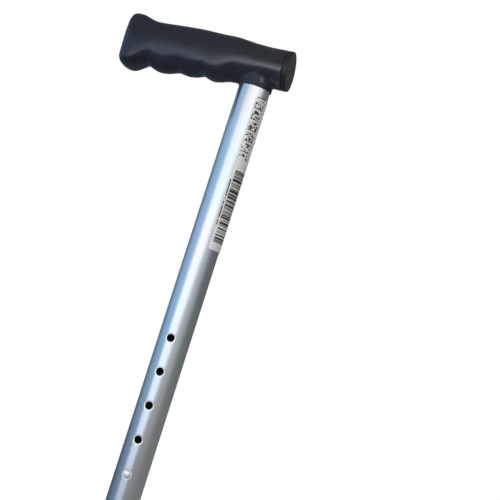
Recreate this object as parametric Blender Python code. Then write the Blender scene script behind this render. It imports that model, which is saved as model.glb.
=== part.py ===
# Adjustable walking stick: moulded grip, aluminium tube with a row of holes, sliding leg with a snap button,
# rubber foot.
# Metres, +Z up. The origin is the centre of the foot's tread, and +Z runs up the tubes' axis.
# The grip's long end points to -X, its capped end to +X, and the row of holes faces -Y.
# The leg is modelled with its button in the rest hole. It slides along Z, and the button goes in towards +Y.

import math

import bmesh
import bpy
from mathutils import Vector

# General clearances
GAP = 0.0003                   # air between two pieces that touch
CUT_OVERRUN = 0.002            # how far a cutter reaches past the face that it opens
FULL_TURN = math.tau

# Whole stick
STICK_HEIGHT = 0.8382          # floor to the grip's top at the capped end, with the button in the rest hole
HOLE_PITCH = 0.0254            # one height step
HOLE_COUNT = 10
REST_HOLE = 5                  # counted from the grip
FIRST_HOLE_BELOW_RIM = 0.1960  # grip's collar rim down to the first hole's centre

# Tubes
TUBE_OD = 0.0240
TUBE_WALL = 0.0012
TUBE_BELOW_LAST_HOLE = 0.0250
TUBE_IN_SOCKET = 0.0280        # how far the upper tube goes into the grip
LEG_OD = 0.0190
LEG_WALL = 0.0012
LEG_ABOVE_BUTTON = 0.0150
TUBE_END_CHAMFER = 0.0003
TUBE_SIDES = 48

# Snap button and its spring
HOLE_DIAMETER = 0.0064
HOLE_SIDES = 20
BUTTON_DIAMETER = 0.0058
BUTTON_PROUD = 0.0025          # tip above the upper tube's surface
BUTTON_DOME = 0.0014
BUTTON_DOME_STEPS = 5
BUTTON_FLANGE_DIAMETER = 0.0086
BUTTON_FLANGE_THICKNESS = 0.0010
SPRING_THICKNESS = 0.0006
SPRING_WIDTH = 0.0060
SPRING_ABOVE_BUTTON = 0.0040
SPRING_BELOW_BUTTON = 0.0340
SPRING_BEND_RADIUS = 0.0028
SPRING_BEND_STEPS = 8

# Grip, measured from the tube's axis and from the collar's rim
GRIP_REACH = 0.1095            # tube axis to the flared end
SEAM_REACH = 0.0190            # tube axis to the joint with the end cap
END_ROUND_TOP = 0.0075
END_ROUND_SIDE = 0.0110
END_ROUND_BOTTOM = 0.0115
END_ROUND_STEPS = 7
COLLAR_WALL = 0.0006
COLLAR_EDGE = 0.0003
COLLAR_SINK = 0.0200           # how far the collar's cylinder runs up into the grip
GRIP_SIDES = 40
GRIP_STATION_STEP = 0.0030
SWELL_SPREAD = 0.22            # how much of a finger swell's depth also shows as width

# Top line of the grip, tube side last: x and height above the rim
TOP_LINE = (
    (-0.1010, 0.0342),         # crest of the flared end
    (-0.0870, 0.0315),         # dip in front of the crest
    (-0.0660, 0.0331),
    (-0.0340, 0.0352),         # highest place under the palm
    (0.0060, 0.0340),
    (0.0190, 0.0344),
)
# Underside of the grip: swells between the fingers and the grooves that take them
UNDER_LINE = (
    (-0.0960, -0.0083),        # flared end, lowest point
    (-0.0830, -0.0029),        # groove
    (-0.0705, -0.0051),        # swell
    (-0.0595, -0.0018),        # groove
    (-0.0490, -0.0023),        # swell
    (-0.0400, 0.0006),         # groove
    (-0.0300, -0.0005),        # swell
    (-0.0190, 0.0022),
    (0.0126, 0.0044),
    (0.0190, 0.0055),
)
# Underside without swells and grooves
UNDER_MEAN_LINE = (
    (-0.1000, -0.0045),
    (-0.0500, -0.0015),
    (0.0, 0.0030),
    (0.0190, 0.0055),
)
# Height of the widest place of each section
WAIST_LINE = (
    (-0.1000, 0.0130),
    (-0.0500, 0.0160),
    (0.0, 0.0188),
    (0.0190, 0.0200),
)
# Half of the grip's width
WIDTH_LINE = (
    (-0.0990, 0.0158),
    (-0.0850, 0.0141),
    (-0.0600, 0.0150),
    (-0.0300, 0.0152),
    (0.0, 0.0150),
    (0.0190, 0.0145),
)
# Exponent of each section's oval: 2 is an ellipse, more is squarer
OVAL_LINE = (
    (-0.1100, 2.3),
    (-0.0200, 2.3),
    (0.0, 2.3),
    (0.0190, 2.0),
)

# End cap, its chamber and the fixing screw
CAP_LENGTH = 0.0036            # joint to the edge of the face
CAP_DOME = 0.0009
CAP_EDGE_ROUND = 0.0007
CAP_SIDES = 40
CAP_ARC_STEPS = 4
CAP_SPIGOT_LENGTH = 0.0032
CAP_SPIGOT_WALL = 0.0018
CHAMBER_RADIUS = 0.0112
SOCKET_WEB = 0.0024            # wall between the tube's socket and the chamber
SCREW_HEAD_RADIUS = 0.0040
SCREW_HEAD_HEIGHT = 0.0022
SCREW_HEAD_EDGE = 0.0009
SCREW_RADIUS = 0.0019
SCREW_THREAD_DEPTH = 0.0004
SCREW_THREAD_PITCH = 0.0014
SCREW_LENGTH = 0.0110
SCREW_SIDES = 16
RECESS_WIDTH = 0.0010
RECESS_DEPTH = 0.0012
RECESS_SPAN = 0.0048

# Label
LABEL_BELOW_RIM = 0.0072
LABEL_HEIGHT = 0.1186
LABEL_WIDTH = 0.0350           # measured round the tube
LABEL_START_DEG = 28.5         # from the row of holes towards +X
LABEL_GAP = 0.0002
LABEL_THICKNESS = 0.0002
LABEL_STEPS = 24

# Bushes between the tubes
BUSH_SLEEVE_LENGTH = 0.0180
BUSH_FLANGE_HEIGHT = 0.0070
BUSH_FLANGE_WALL = 0.0014      # how far the flange stands out past the tube
BUSH_EDGE = 0.0010
PLUG_FLANGE_HEIGHT = 0.0030
PLUG_BODY_LENGTH = 0.0080
PLUG_BORE = 0.0080

# Rubber foot
FERRULE_BASE_DIAMETER = 0.0380
FERRULE_NECK_DIAMETER = 0.0262
FERRULE_BEAD_DIAMETER = 0.0276
FERRULE_HEIGHT = 0.0510
FERRULE_FLOOR = 0.0090         # rubber under the tube
FERRULE_RIM_HEIGHT = 0.0050    # straight side of the base
FERRULE_FLARE_HEIGHT = 0.0170
FERRULE_BEAD_HEIGHT = 0.0050
FERRULE_EDGE = 0.0008
FERRULE_SIDES = 48
FERRULE_FLARE_STEPS = 8
TREAD_DEPTH = 0.0015
TREAD_GROOVES = ((0.0070, 0.0088), (0.0112, 0.0130), (0.0154, 0.0168))
WASHER_THICKNESS = 0.0015

# Worked out from the sizes above
TUBE_RADIUS = TUBE_OD / 2
TUBE_BORE = TUBE_RADIUS - TUBE_WALL
LEG_RADIUS = LEG_OD / 2
LEG_BORE = LEG_RADIUS - LEG_WALL
SOCKET_RADIUS = TUBE_RADIUS + GAP
COLLAR_RADIUS = SOCKET_RADIUS + COLLAR_WALL
GRIP_TOP = TOP_LINE[-1][1]
CAP_RADIUS = (TOP_LINE[-1][1] - UNDER_LINE[-1][1]) / 2
CAP_AXIS = (TOP_LINE[-1][1] + UNDER_LINE[-1][1]) / 2
RIM_Z = STICK_HEIGHT - GRIP_TOP
TUBE_TOP_Z = RIM_Z + TUBE_IN_SOCKET
HOLE_ZS = [RIM_Z - FIRST_HOLE_BELOW_RIM - HOLE_PITCH * i for i in range(HOLE_COUNT)]
TUBE_FOOT_Z = HOLE_ZS[-1] - TUBE_BELOW_LAST_HOLE
BUTTON_Z = HOLE_ZS[REST_HOLE - 1]
WASHER_Z = FERRULE_FLOOR + GAP
LEG_FOOT_Z = WASHER_Z + WASHER_THICKNESS + GAP
LEG_TOP_Z = BUTTON_Z + LEG_ABOVE_BUTTON
CHAMBER_FLOOR_X = SOCKET_RADIUS + SOCKET_WEB
CAP_AXIS_Z = RIM_Z + CAP_AXIS


def clear_objects():
    """Take every object out of the scene."""
    for obj in list(bpy.data.objects):
        bpy.data.objects.remove(obj, do_unlink=True)


def make_material(name, color, roughness, metallic=0.0):
    """One Principled material."""
    mat = bpy.data.materials.new(name)
    mat.use_nodes = True
    shader = mat.node_tree.nodes["Principled BSDF"]
    shader.inputs["Base Color"].default_value = (*color, 1.0)
    shader.inputs["Roughness"].default_value = roughness
    shader.inputs["Metallic"].default_value = metallic
    return mat


def add_object(name, bm, mat, sharp_deg=35.0):
    """Turn a bmesh into a shaded object with its material."""
    bmesh.ops.recalc_face_normals(bm, faces=bm.faces)
    mesh = bpy.data.meshes.new(name)
    bm.to_mesh(mesh)
    bm.free()
    mesh.shade_smooth()
    mesh.set_sharp_from_angle(angle=math.radians(sharp_deg))
    obj = bpy.data.objects.new(name, mesh)
    bpy.context.scene.collection.objects.link(obj)
    if mat:
        obj.data.materials.append(mat)
    return obj


def turned(profile, sides):
    """Spin a closed outline of (radius, height) points round Z. Points on the axis close into a pole."""
    bm = bmesh.new()
    verts = [bm.verts.new((radius, 0.0, z)) for radius, z in profile]
    loop = verts + verts[:1]
    edges = [bm.edges.new(pair) for pair in zip(loop, loop[1:]) if not on_axis(pair)]
    bmesh.ops.spin(bm, geom=verts + edges, cent=(0, 0, 0), axis=(0, 0, 1), angle=FULL_TURN, steps=sides)
    bmesh.ops.remove_doubles(bm, verts=bm.verts, dist=1e-6)
    return bm


def on_axis(pair):
    """True for an edge of an outline that lies on the axis of the turn."""
    return all(vert.co.x < 1e-9 for vert in pair)


def aim(obj, direction):
    """Turn an object that was made round Z so that its axis lies along another one."""
    turns = {"-Y": (math.pi / 2, 0.0, 0.0), "+X": (0.0, math.pi / 2, 0.0)}
    obj.rotation_euler = turns[direction]


def quarter_turn(steps):
    """Cosine and sine at even steps from 0 to 90 degrees, exact at both ends."""
    pairs = [(math.cos(math.pi / 2 * k / steps), math.sin(math.pi / 2 * k / steps)) for k in range(steps)]
    return pairs + [(0.0, 1.0)]


def add_cutter(name, bm):
    """A shape that only cuts others: shown as wire, never rendered."""
    cutter = add_object(name, bm, None)
    cutter.hide_render = True
    cutter.display_type = "WIRE"
    return cutter


def boolean(obj, other, operation):
    """Put an exact Boolean modifier on an object."""
    mod = obj.modifiers.new(f"{operation.lower()} {other.name}", "BOOLEAN")
    mod.operation = operation
    mod.solver = "EXACT"
    mod.object = other


def add_rod(bm, radius, start, end, sides):
    """Add a capped rod between two points that lie along one axis."""
    first = bmesh.ops.create_cone(
        bm, cap_ends=True, segments=sides, radius1=radius, radius2=radius, depth=(end - start).length)
    turn = (end - start).to_track_quat("Z", "Y").to_matrix().to_4x4()
    turn.translation = (start + end) / 2
    bmesh.ops.transform(bm, matrix=turn, verts=first["verts"])


def smooth_line(points, x):
    """Height at x of a smooth line through (x, height) points, which never overshoots them."""
    xs = [p[0] for p in points]
    hs = [p[1] for p in points]
    if x <= xs[0]:
        return hs[0]
    if x >= xs[-1]:
        return hs[-1]
    i = max(k for k in range(len(xs) - 1) if xs[k] <= x)
    steps = [(hs[k + 1] - hs[k]) / (xs[k + 1] - xs[k]) for k in range(len(xs) - 1)]
    width = xs[i + 1] - xs[i]
    t = (x - xs[i]) / width
    rise_in = line_slope(steps, i) * width
    rise_out = line_slope(steps, i + 1) * width
    return ((2 * t**3 - 3 * t**2 + 1) * hs[i] + (t**3 - 2 * t**2 + t) * rise_in
            + (3 * t**2 - 2 * t**3) * hs[i + 1] + (t**3 - t**2) * rise_out)


def line_slope(steps, k):
    """Slope at a point: level at crests and at both ends, otherwise the harmonic mean of its neighbours."""
    if k == 0 or k == len(steps) or steps[k - 1] * steps[k] <= 0:
        return 0.0
    return 2 * steps[k - 1] * steps[k] / (steps[k - 1] + steps[k])


def round_inset(x, radius):
    """How far the rounded flared end draws a line in at x."""
    depth = radius - GRIP_REACH - x
    if depth <= 0:
        return 0.0
    return radius - math.sqrt(max(0.0, radius**2 - depth**2))


def grip_section(x):
    """Points of the grip's outline across its length at x, as (y, height above the rim)."""
    waist = smooth_line(WAIST_LINE, x)
    under = smooth_line(UNDER_LINE, x)
    rise = smooth_line(TOP_LINE, x) - waist - round_inset(x, END_ROUND_TOP)
    fall = waist - under - round_inset(x, END_ROUND_BOTTOM)
    half_width = smooth_line(WIDTH_LINE, x) - round_inset(x, END_ROUND_SIDE)
    swell = (smooth_line(UNDER_MEAN_LINE, x) - under) * SWELL_SPREAD
    power = 2 / smooth_line(OVAL_LINE, x)
    points = []
    for k in range(GRIP_SIDES):
        angle = FULL_TURN * k / GRIP_SIDES
        across = math.cos(angle)
        up = math.sin(angle)
        reach = half_width + (swell * -up if up < 0 else 0.0)
        height = (rise if up > 0 else fall) * abs(up) ** power
        y = math.copysign(reach * abs(across) ** power, across)
        points.append((y, waist + math.copysign(height, up)))
    return points


def grip_stations():
    """Places along the grip, closer together where the flared end is rounded."""
    xs = [END_ROUND_SIDE * (1 - cos) - GRIP_REACH for cos, sin in quarter_turn(END_ROUND_STEPS)]
    straight = SEAM_REACH - xs[-1]
    count = math.ceil(straight / GRIP_STATION_STEP)
    return xs + [xs[-1] + straight * (k + 1) / count for k in range(count)]


def grip_body():
    """Loft the grip through its sections, and close both ends."""
    bm = bmesh.new()
    rings = []
    for x in grip_stations():
        rings.append([bm.verts.new((x, y, z)) for y, z in grip_section(x)])
    for ring, following in zip(rings, rings[1:]):
        for k in range(GRIP_SIDES):
            j = (k + 1) % GRIP_SIDES
            bm.faces.new((ring[k], ring[j], following[j], following[k]))
    bm.faces.new(rings[0])
    bm.faces.new(rings[-1])
    return bm


def make_handle(mat):
    """Grip with its collar, a blind socket for the tube, the chamber behind the cap and the screw's hole."""
    handle = add_object("handle", grip_body(), mat, sharp_deg=50.0)
    handle.location.z = RIM_Z
    collar = add_cutter("collar_guide", turned(
        ((0.0, 0.0), (COLLAR_RADIUS - COLLAR_EDGE, 0.0), (COLLAR_RADIUS, COLLAR_EDGE),
         (COLLAR_RADIUS, COLLAR_SINK), (0.0, COLLAR_SINK)), TUBE_SIDES))
    collar.location.z = RIM_Z
    boolean(handle, collar, "UNION")
    socket_bm = bmesh.new()
    socket_end = Vector((0, 0, TUBE_IN_SOCKET + GAP))
    add_rod(socket_bm, SOCKET_RADIUS, Vector((0, 0, -CUT_OVERRUN)), socket_end, TUBE_SIDES)
    socket = add_cutter("socket_cutter", socket_bm)
    socket.location.z = RIM_Z
    boolean(handle, socket, "DIFFERENCE")
    chamber_bm = bmesh.new()
    floor = Vector((CHAMBER_FLOOR_X, 0, 0))
    add_rod(chamber_bm, CHAMBER_RADIUS, floor, Vector((SEAM_REACH + CUT_OVERRUN, 0, 0)), CAP_SIDES)
    add_rod(chamber_bm, SCREW_RADIUS + GAP, Vector((SOCKET_RADIUS / 2, 0, 0)), floor, SCREW_SIDES)
    chamber = add_cutter("chamber_cutter", chamber_bm)
    chamber.location.z = CAP_AXIS_Z
    boolean(handle, chamber, "DIFFERENCE")
    return handle


def make_end_cap(mat):
    """Domed cap with a hollow spigot that plugs the chamber."""
    spigot = CHAMBER_RADIUS - GAP
    face = SEAM_REACH + CAP_LENGTH
    edge = CAP_EDGE_ROUND
    dome_base = CAP_RADIUS - edge
    arc = [(dome_base + edge * cos, face - edge + edge * sin) for cos, sin in quarter_turn(CAP_ARC_STEPS)]
    dome = [(dome_base * cos, face + CAP_DOME * sin) for cos, sin in quarter_turn(CAP_ARC_STEPS)][1:]
    profile = [
        (0.0, SEAM_REACH + GAP),
        (spigot - CAP_SPIGOT_WALL, SEAM_REACH + GAP),
        (spigot - CAP_SPIGOT_WALL, SEAM_REACH - CAP_SPIGOT_LENGTH),
        (spigot, SEAM_REACH - CAP_SPIGOT_LENGTH),
        (spigot, SEAM_REACH + GAP),
        (CAP_RADIUS, SEAM_REACH + GAP),
    ] + arc + dome
    cap = add_object("handle_end_cap", turned(profile, CAP_SIDES), mat)
    aim(cap, "+X")
    cap.location = (0, 0, CAP_AXIS_Z)
    return cap


def cross_prism(half_width, half_span, depth):
    """A cross-shaped prism along X, centred on the origin and reaching a depth to both sides."""
    quarter = ((half_span, -half_width), (half_span, half_width), (half_width, half_width))
    bm = bmesh.new()
    verts = []
    for k in range(4):
        cos, sin = round(math.cos(math.pi / 2 * k)), round(math.sin(math.pi / 2 * k))
        verts += [bm.verts.new((-depth, y * cos - z * sin, y * sin + z * cos)) for y, z in quarter]
    face = bm.faces.new(verts)
    grown = bmesh.ops.extrude_face_region(bm, geom=[face])
    moved = [item for item in grown["geom"] if isinstance(item, bmesh.types.BMVert)]
    bmesh.ops.translate(bm, vec=(2 * depth, 0, 0), verts=moved)
    return bm


def make_screw(mat):
    """Pan-head screw that goes through the socket's web and the tube's wall."""
    seat = CHAMBER_FLOOR_X + GAP
    turns = int((SCREW_LENGTH - SCREW_RADIUS) / SCREW_THREAD_PITCH)
    thread = []
    for k in range(turns):
        z = seat - SCREW_THREAD_PITCH * (k + 1)
        thread.append((SCREW_RADIUS, z + SCREW_THREAD_PITCH / 2))
        thread.append((SCREW_RADIUS - SCREW_THREAD_DEPTH, z))
    head = [
        (0.0, seat + SCREW_HEAD_HEIGHT),
        (SCREW_HEAD_RADIUS - SCREW_HEAD_EDGE, seat + SCREW_HEAD_HEIGHT),
        (SCREW_HEAD_RADIUS, seat + SCREW_HEAD_HEIGHT - SCREW_HEAD_EDGE),
        (SCREW_HEAD_RADIUS, seat),
        (SCREW_RADIUS, seat),
    ]
    profile = head + thread + [(0.0, seat - SCREW_LENGTH)]
    screw = add_object("handle_screw", turned(profile, SCREW_SIDES), mat)
    aim(screw, "+X")
    screw.location = (0, 0, CAP_AXIS_Z)
    recess = add_cutter("recess_cutter", cross_prism(RECESS_WIDTH / 2, RECESS_SPAN / 2, RECESS_DEPTH))
    recess.location = (seat + SCREW_HEAD_HEIGHT, 0, CAP_AXIS_Z)
    boolean(screw, recess, "DIFFERENCE")
    return screw


def tube_profile(outer, bore, foot, top):
    """Outline of a tube wall with a small chamfer at the outside of both ends."""
    edge = TUBE_END_CHAMFER
    return ((bore, foot), (outer - edge, foot), (outer, foot + edge),
            (outer, top - edge), (outer - edge, top), (bore, top))


def make_outer_tube(mat):
    """Upper tube with the row of holes through its -Y wall and the screw's hole in its top."""
    tube = add_object("outer_tube", turned(
        tube_profile(TUBE_RADIUS, TUBE_BORE, 0.0, TUBE_TOP_Z - TUBE_FOOT_Z), TUBE_SIDES), mat)
    tube.location.z = TUBE_FOOT_Z
    holes_bm = bmesh.new()
    for z in HOLE_ZS:
        outside = Vector((0, -TUBE_RADIUS - CUT_OVERRUN, z))
        add_rod(holes_bm, HOLE_DIAMETER / 2, outside, Vector((0, -TUBE_BORE / 2, z)), HOLE_SIDES)
    add_rod(holes_bm, SCREW_RADIUS + GAP, Vector((TUBE_BORE / 2, 0, CAP_AXIS_Z)),
            Vector((TUBE_RADIUS + CUT_OVERRUN, 0, CAP_AXIS_Z)), SCREW_SIDES)
    holes = add_cutter("tube_holes_cutter", holes_bm)
    boolean(tube, holes, "DIFFERENCE")
    return tube


def make_label(mat):
    """Thin sticker that follows the tube from beside the holes round to the back."""
    bm = bmesh.new()
    inner = TUBE_RADIUS + LABEL_GAP
    outer = inner + LABEL_THICKNESS
    start = math.radians(LABEL_START_DEG)
    sweep = LABEL_WIDTH / TUBE_RADIUS
    top = RIM_Z - LABEL_BELOW_RIM
    foot = top - LABEL_HEIGHT
    corners = ((inner, foot), (outer, foot), (outer, top), (inner, top))
    face = bm.faces.new([bm.verts.new((r * math.sin(start), -r * math.cos(start), z)) for r, z in corners])
    bmesh.ops.spin(bm, geom=[face], cent=(0, 0, 0), axis=(0, 0, 1), angle=sweep, steps=LABEL_STEPS)
    return add_object("tube_label", bm, mat)


def make_end_bush(mat):
    """Plastic bush: a sleeve between the tubes and a flange under the upper one."""
    sleeve = TUBE_BORE - GAP
    bore = LEG_RADIUS + GAP
    flange = TUBE_RADIUS + BUSH_FLANGE_WALL
    top = -GAP
    foot = top - BUSH_FLANGE_HEIGHT
    sleeve_top = top + BUSH_SLEEVE_LENGTH
    profile = (
        (bore, sleeve_top), (bore, foot), (flange - BUSH_EDGE, foot), (flange, foot + BUSH_EDGE),
        (flange, top - BUSH_EDGE), (flange - BUSH_EDGE, top), (sleeve, top), (sleeve, sleeve_top))
    bush = add_object("end_bush", turned(profile, TUBE_SIDES), mat)
    bush.location.z = TUBE_FOOT_Z
    return bush


def make_inner_tube(mat, leg):
    """Lower tube with the button's hole."""
    tube = add_object("inner_tube", turned(
        tube_profile(LEG_RADIUS, LEG_BORE, LEG_FOOT_Z - BUTTON_Z, LEG_TOP_Z - BUTTON_Z), TUBE_SIDES), mat)
    tube.parent = leg
    hole_bm = bmesh.new()
    outside = Vector((0, -LEG_RADIUS - CUT_OVERRUN, 0))
    add_rod(hole_bm, HOLE_DIAMETER / 2, outside, Vector((0, -LEG_BORE / 2, 0)), HOLE_SIDES)
    hole = add_cutter("leg_hole_cutter", hole_bm)
    hole.parent = leg
    boolean(tube, hole, "DIFFERENCE")
    return tube


def make_plug(mat, leg):
    """Plug in the lower tube's upper end. Its rim guides the leg in the upper tube."""
    rim = TUBE_BORE - GAP
    body = LEG_BORE - GAP
    base = LEG_ABOVE_BUTTON + GAP
    bore = PLUG_BORE / 2
    profile = (
        (bore, base - PLUG_BODY_LENGTH), (body, base - PLUG_BODY_LENGTH), (body, base), (rim, base),
        (rim, base + PLUG_FLANGE_HEIGHT - BUSH_EDGE), (rim - BUSH_EDGE, base + PLUG_FLANGE_HEIGHT),
        (bore, base + PLUG_FLANGE_HEIGHT))
    plug = add_object("inner_tube_plug", turned(profile, TUBE_SIDES), mat)
    plug.parent = leg
    return plug


def flange_face():
    """Distance from the axis of the button flange's outer face, which has to clear the lower tube's bore."""
    return math.sqrt((LEG_BORE - GAP) ** 2 - (BUTTON_FLANGE_DIAMETER / 2) ** 2) - GAP


def make_button(mat, press):
    """Domed button with the flange that stops it inside the lower tube."""
    radius = BUTTON_DIAMETER / 2
    tip = TUBE_RADIUS + BUTTON_PROUD
    flange = BUTTON_FLANGE_DIAMETER / 2
    face = flange_face()
    back = face - BUTTON_FLANGE_THICKNESS
    dome_foot = tip - BUTTON_DOME
    dome = [(radius * cos, dome_foot + BUTTON_DOME * sin) for cos, sin in quarter_turn(BUTTON_DOME_STEPS)]
    profile = [(0.0, back), (flange, back), (flange, face), (radius, face)]
    button = add_object("snap_button", turned(profile + dome, HOLE_SIDES), mat)
    aim(button, "-Y")
    button.parent = press
    return button


def spring_path():
    """Middle line of the folded strip, as (y, z) from the button's centre: front arm, bend, back arm."""
    front = -(flange_face() - BUTTON_FLANGE_THICKNESS - GAP - SPRING_THICKNESS / 2)
    back_wall = math.sqrt(LEG_BORE**2 - (SPRING_WIDTH / 2) ** 2)
    back = back_wall - GAP - SPRING_THICKNESS / 2
    bend_z = SPRING_BEND_RADIUS - SPRING_BELOW_BUTTON
    bend = []
    for k in range(SPRING_BEND_STEPS + 1):
        angle = math.pi + math.pi * k / SPRING_BEND_STEPS
        bend.append((SPRING_BEND_RADIUS * math.cos(angle), bend_z + SPRING_BEND_RADIUS * math.sin(angle)))
    return ([(front, SPRING_ABOVE_BUTTON), (front, -SPRING_ABOVE_BUTTON)] + bend
            + [(back, -SPRING_ABOVE_BUTTON), (back, SPRING_ABOVE_BUTTON)])


def make_spring(mat, leg):
    """Strip spring: its middle line thickened to both sides and extruded across."""
    path = [Vector(p) for p in spring_path()]
    left_side = []
    right_side = []
    for k, point in enumerate(path):
        before = path[max(k - 1, 0)]
        after = path[min(k + 1, len(path) - 1)]
        along = ((point - before).normalized() + (after - point).normalized()).normalized()
        side = Vector((-along.y, along.x)) * SPRING_THICKNESS / 2
        left_side.append(point + side)
        right_side.append(point - side)
    bm = bmesh.new()
    half = SPRING_WIDTH / 2
    left_verts = [bm.verts.new((-half, p.x, p.y)) for p in left_side]
    right_verts = [bm.verts.new((-half, p.x, p.y)) for p in right_side]
    faces = []
    for k in range(len(path) - 1):
        faces.append(bm.faces.new((left_verts[k], left_verts[k + 1], right_verts[k + 1], right_verts[k])))
    grown = bmesh.ops.extrude_face_region(bm, geom=faces)
    moved = [item for item in grown["geom"] if isinstance(item, bmesh.types.BMVert)]
    bmesh.ops.translate(bm, vec=(SPRING_WIDTH, 0, 0), verts=moved)
    spring = add_object("button_spring", bm, mat)
    spring.parent = leg
    return spring


def make_washer(mat, leg):
    """Steel disc that keeps the tube's end from cutting the rubber."""
    radius = LEG_RADIUS
    profile = ((0.0, 0.0), (radius, 0.0), (radius, WASHER_THICKNESS), (0.0, WASHER_THICKNESS))
    washer = add_object("ferrule_washer", turned(profile, TUBE_SIDES), mat)
    washer.parent = leg
    washer.location.z = WASHER_Z - BUTTON_Z
    return washer


def make_ferrule(mat, leg):
    """Rubber foot: flared base with tread rings, neck, bead and the tube's blind bore."""
    base = FERRULE_BASE_DIAMETER / 2
    neck = FERRULE_NECK_DIAMETER / 2
    bead = FERRULE_BEAD_DIAMETER / 2
    bore = LEG_RADIUS + GAP
    tread = [(0.0, 0.0)]
    for inside, outside in TREAD_GROOVES:
        tread += [(inside, 0.0), (inside, TREAD_DEPTH), (outside, TREAD_DEPTH), (outside, 0.0)]
    flare = []
    for k in range(FERRULE_FLARE_STEPS + 1):
        share = k / FERRULE_FLARE_STEPS
        ease = (1 - math.cos(math.pi * share)) / 2
        flare.append((base + (neck - base) * ease, FERRULE_RIM_HEIGHT + FERRULE_FLARE_HEIGHT * share))
    bead_foot = FERRULE_HEIGHT - FERRULE_BEAD_HEIGHT
    profile = tread + [(base - FERRULE_EDGE, 0.0), (base, FERRULE_EDGE)] + flare + [
        (neck, bead_foot), (bead, bead_foot + FERRULE_EDGE), (bead, FERRULE_HEIGHT - FERRULE_EDGE),
        (bead - FERRULE_EDGE, FERRULE_HEIGHT), (bore, FERRULE_HEIGHT),
        (bore, FERRULE_FLOOR), (0.0, FERRULE_FLOOR)]
    ferrule = add_object("ferrule", turned(profile, FERRULE_SIDES), mat)
    ferrule.parent = leg
    ferrule.location.z = -BUTTON_Z
    return ferrule


def make_axis(name, z, parent=None):
    """Empty on a joint's axis, which carries the pieces that move with it."""
    empty = bpy.data.objects.new(name, None)
    empty.empty_display_size = 0.02
    empty.location.z = z
    empty.parent = parent
    bpy.context.scene.collection.objects.link(empty)
    return empty


def main():
    clear_objects()
    make_handle(make_material("grip_plastic", (0.024, 0.028, 0.040), 0.42))
    make_end_cap(make_material("cap_plastic", (0.030, 0.032, 0.034), 0.45))
    make_screw(make_material("screw_steel", (0.62, 0.62, 0.63), 0.32, 1.0))
    make_outer_tube(make_material("tube_aluminium", (0.72, 0.74, 0.78), 0.28, 1.0))
    make_label(make_material("label_paper", (0.78, 0.79, 0.80), 0.55))
    make_end_bush(make_material("bush_plastic", (0.030, 0.030, 0.033), 0.45))
    leg = make_axis("leg_axis", BUTTON_Z)
    press = make_axis("button_axis", 0.0, leg)
    make_inner_tube(make_material("leg_aluminium", (0.70, 0.72, 0.75), 0.30, 1.0), leg)
    make_plug(make_material("plug_plastic", (0.045, 0.045, 0.048), 0.50), leg)
    make_button(make_material("button_steel", (0.70, 0.71, 0.73), 0.20, 1.0), press)
    make_spring(make_material("spring_steel", (0.45, 0.46, 0.48), 0.30, 1.0), leg)
    make_washer(make_material("washer_steel", (0.55, 0.55, 0.56), 0.35, 1.0), leg)
    make_ferrule(make_material("ferrule_rubber", (0.035, 0.035, 0.036), 0.70), leg)
    print("button", round(BUTTON_Z, 4), "rim", round(RIM_Z, 4), "tube foot", round(TUBE_FOOT_Z, 4))


main()
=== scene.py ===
# %% [markdown]
# # An adjustable walking stick
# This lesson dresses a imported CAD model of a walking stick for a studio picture. The CAD gives the true
# sizes, the bodies and the joints. Here each visible piece gets its fine shape and its finish. The cells
# run from top to bottom, and each one prints what it made.

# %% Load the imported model
import math

import bmesh
import bpy
import numpy as np
from mathutils import Matrix, Vector


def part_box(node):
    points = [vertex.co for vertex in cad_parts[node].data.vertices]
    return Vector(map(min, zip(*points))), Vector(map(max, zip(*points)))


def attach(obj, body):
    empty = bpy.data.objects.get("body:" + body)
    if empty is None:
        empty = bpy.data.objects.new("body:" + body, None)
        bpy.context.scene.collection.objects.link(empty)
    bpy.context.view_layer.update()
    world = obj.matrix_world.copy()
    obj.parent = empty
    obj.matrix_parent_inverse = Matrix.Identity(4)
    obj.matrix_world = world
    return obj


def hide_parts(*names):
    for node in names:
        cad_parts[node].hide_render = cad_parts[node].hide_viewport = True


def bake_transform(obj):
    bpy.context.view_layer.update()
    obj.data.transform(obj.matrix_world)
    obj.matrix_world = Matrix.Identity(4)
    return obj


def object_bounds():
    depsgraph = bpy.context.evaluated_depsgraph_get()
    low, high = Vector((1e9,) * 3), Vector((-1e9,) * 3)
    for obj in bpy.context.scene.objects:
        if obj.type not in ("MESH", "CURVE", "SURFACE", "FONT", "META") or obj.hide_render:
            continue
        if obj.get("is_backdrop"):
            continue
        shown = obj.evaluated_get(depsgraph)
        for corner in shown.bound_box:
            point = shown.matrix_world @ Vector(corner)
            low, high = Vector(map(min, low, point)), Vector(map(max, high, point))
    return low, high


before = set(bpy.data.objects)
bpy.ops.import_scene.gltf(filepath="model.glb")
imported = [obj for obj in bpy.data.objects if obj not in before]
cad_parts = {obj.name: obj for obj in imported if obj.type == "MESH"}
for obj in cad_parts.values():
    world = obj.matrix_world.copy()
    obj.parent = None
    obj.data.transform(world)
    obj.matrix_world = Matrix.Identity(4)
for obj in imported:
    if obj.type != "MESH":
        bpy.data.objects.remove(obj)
cad_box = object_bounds()

# %% [markdown]
# ## Sizes
# Places come from the CAD nodes' own boxes, so a piece always sits where the model says. Only sizes that a
# box can't tell, such as a wall's thickness or the pitch of the holes, are written here again. Everything
# is in metres.

# %% Places and sizes
tube_low, tube_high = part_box("outer_tube")
leg_low, leg_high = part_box("inner_tube")
cap_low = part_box("handle_end_cap")[0]
button_low, button_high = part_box("snap_button")
label_low, label_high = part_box("tube_label")
bush_low, bush_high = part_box("end_bush")

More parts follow.
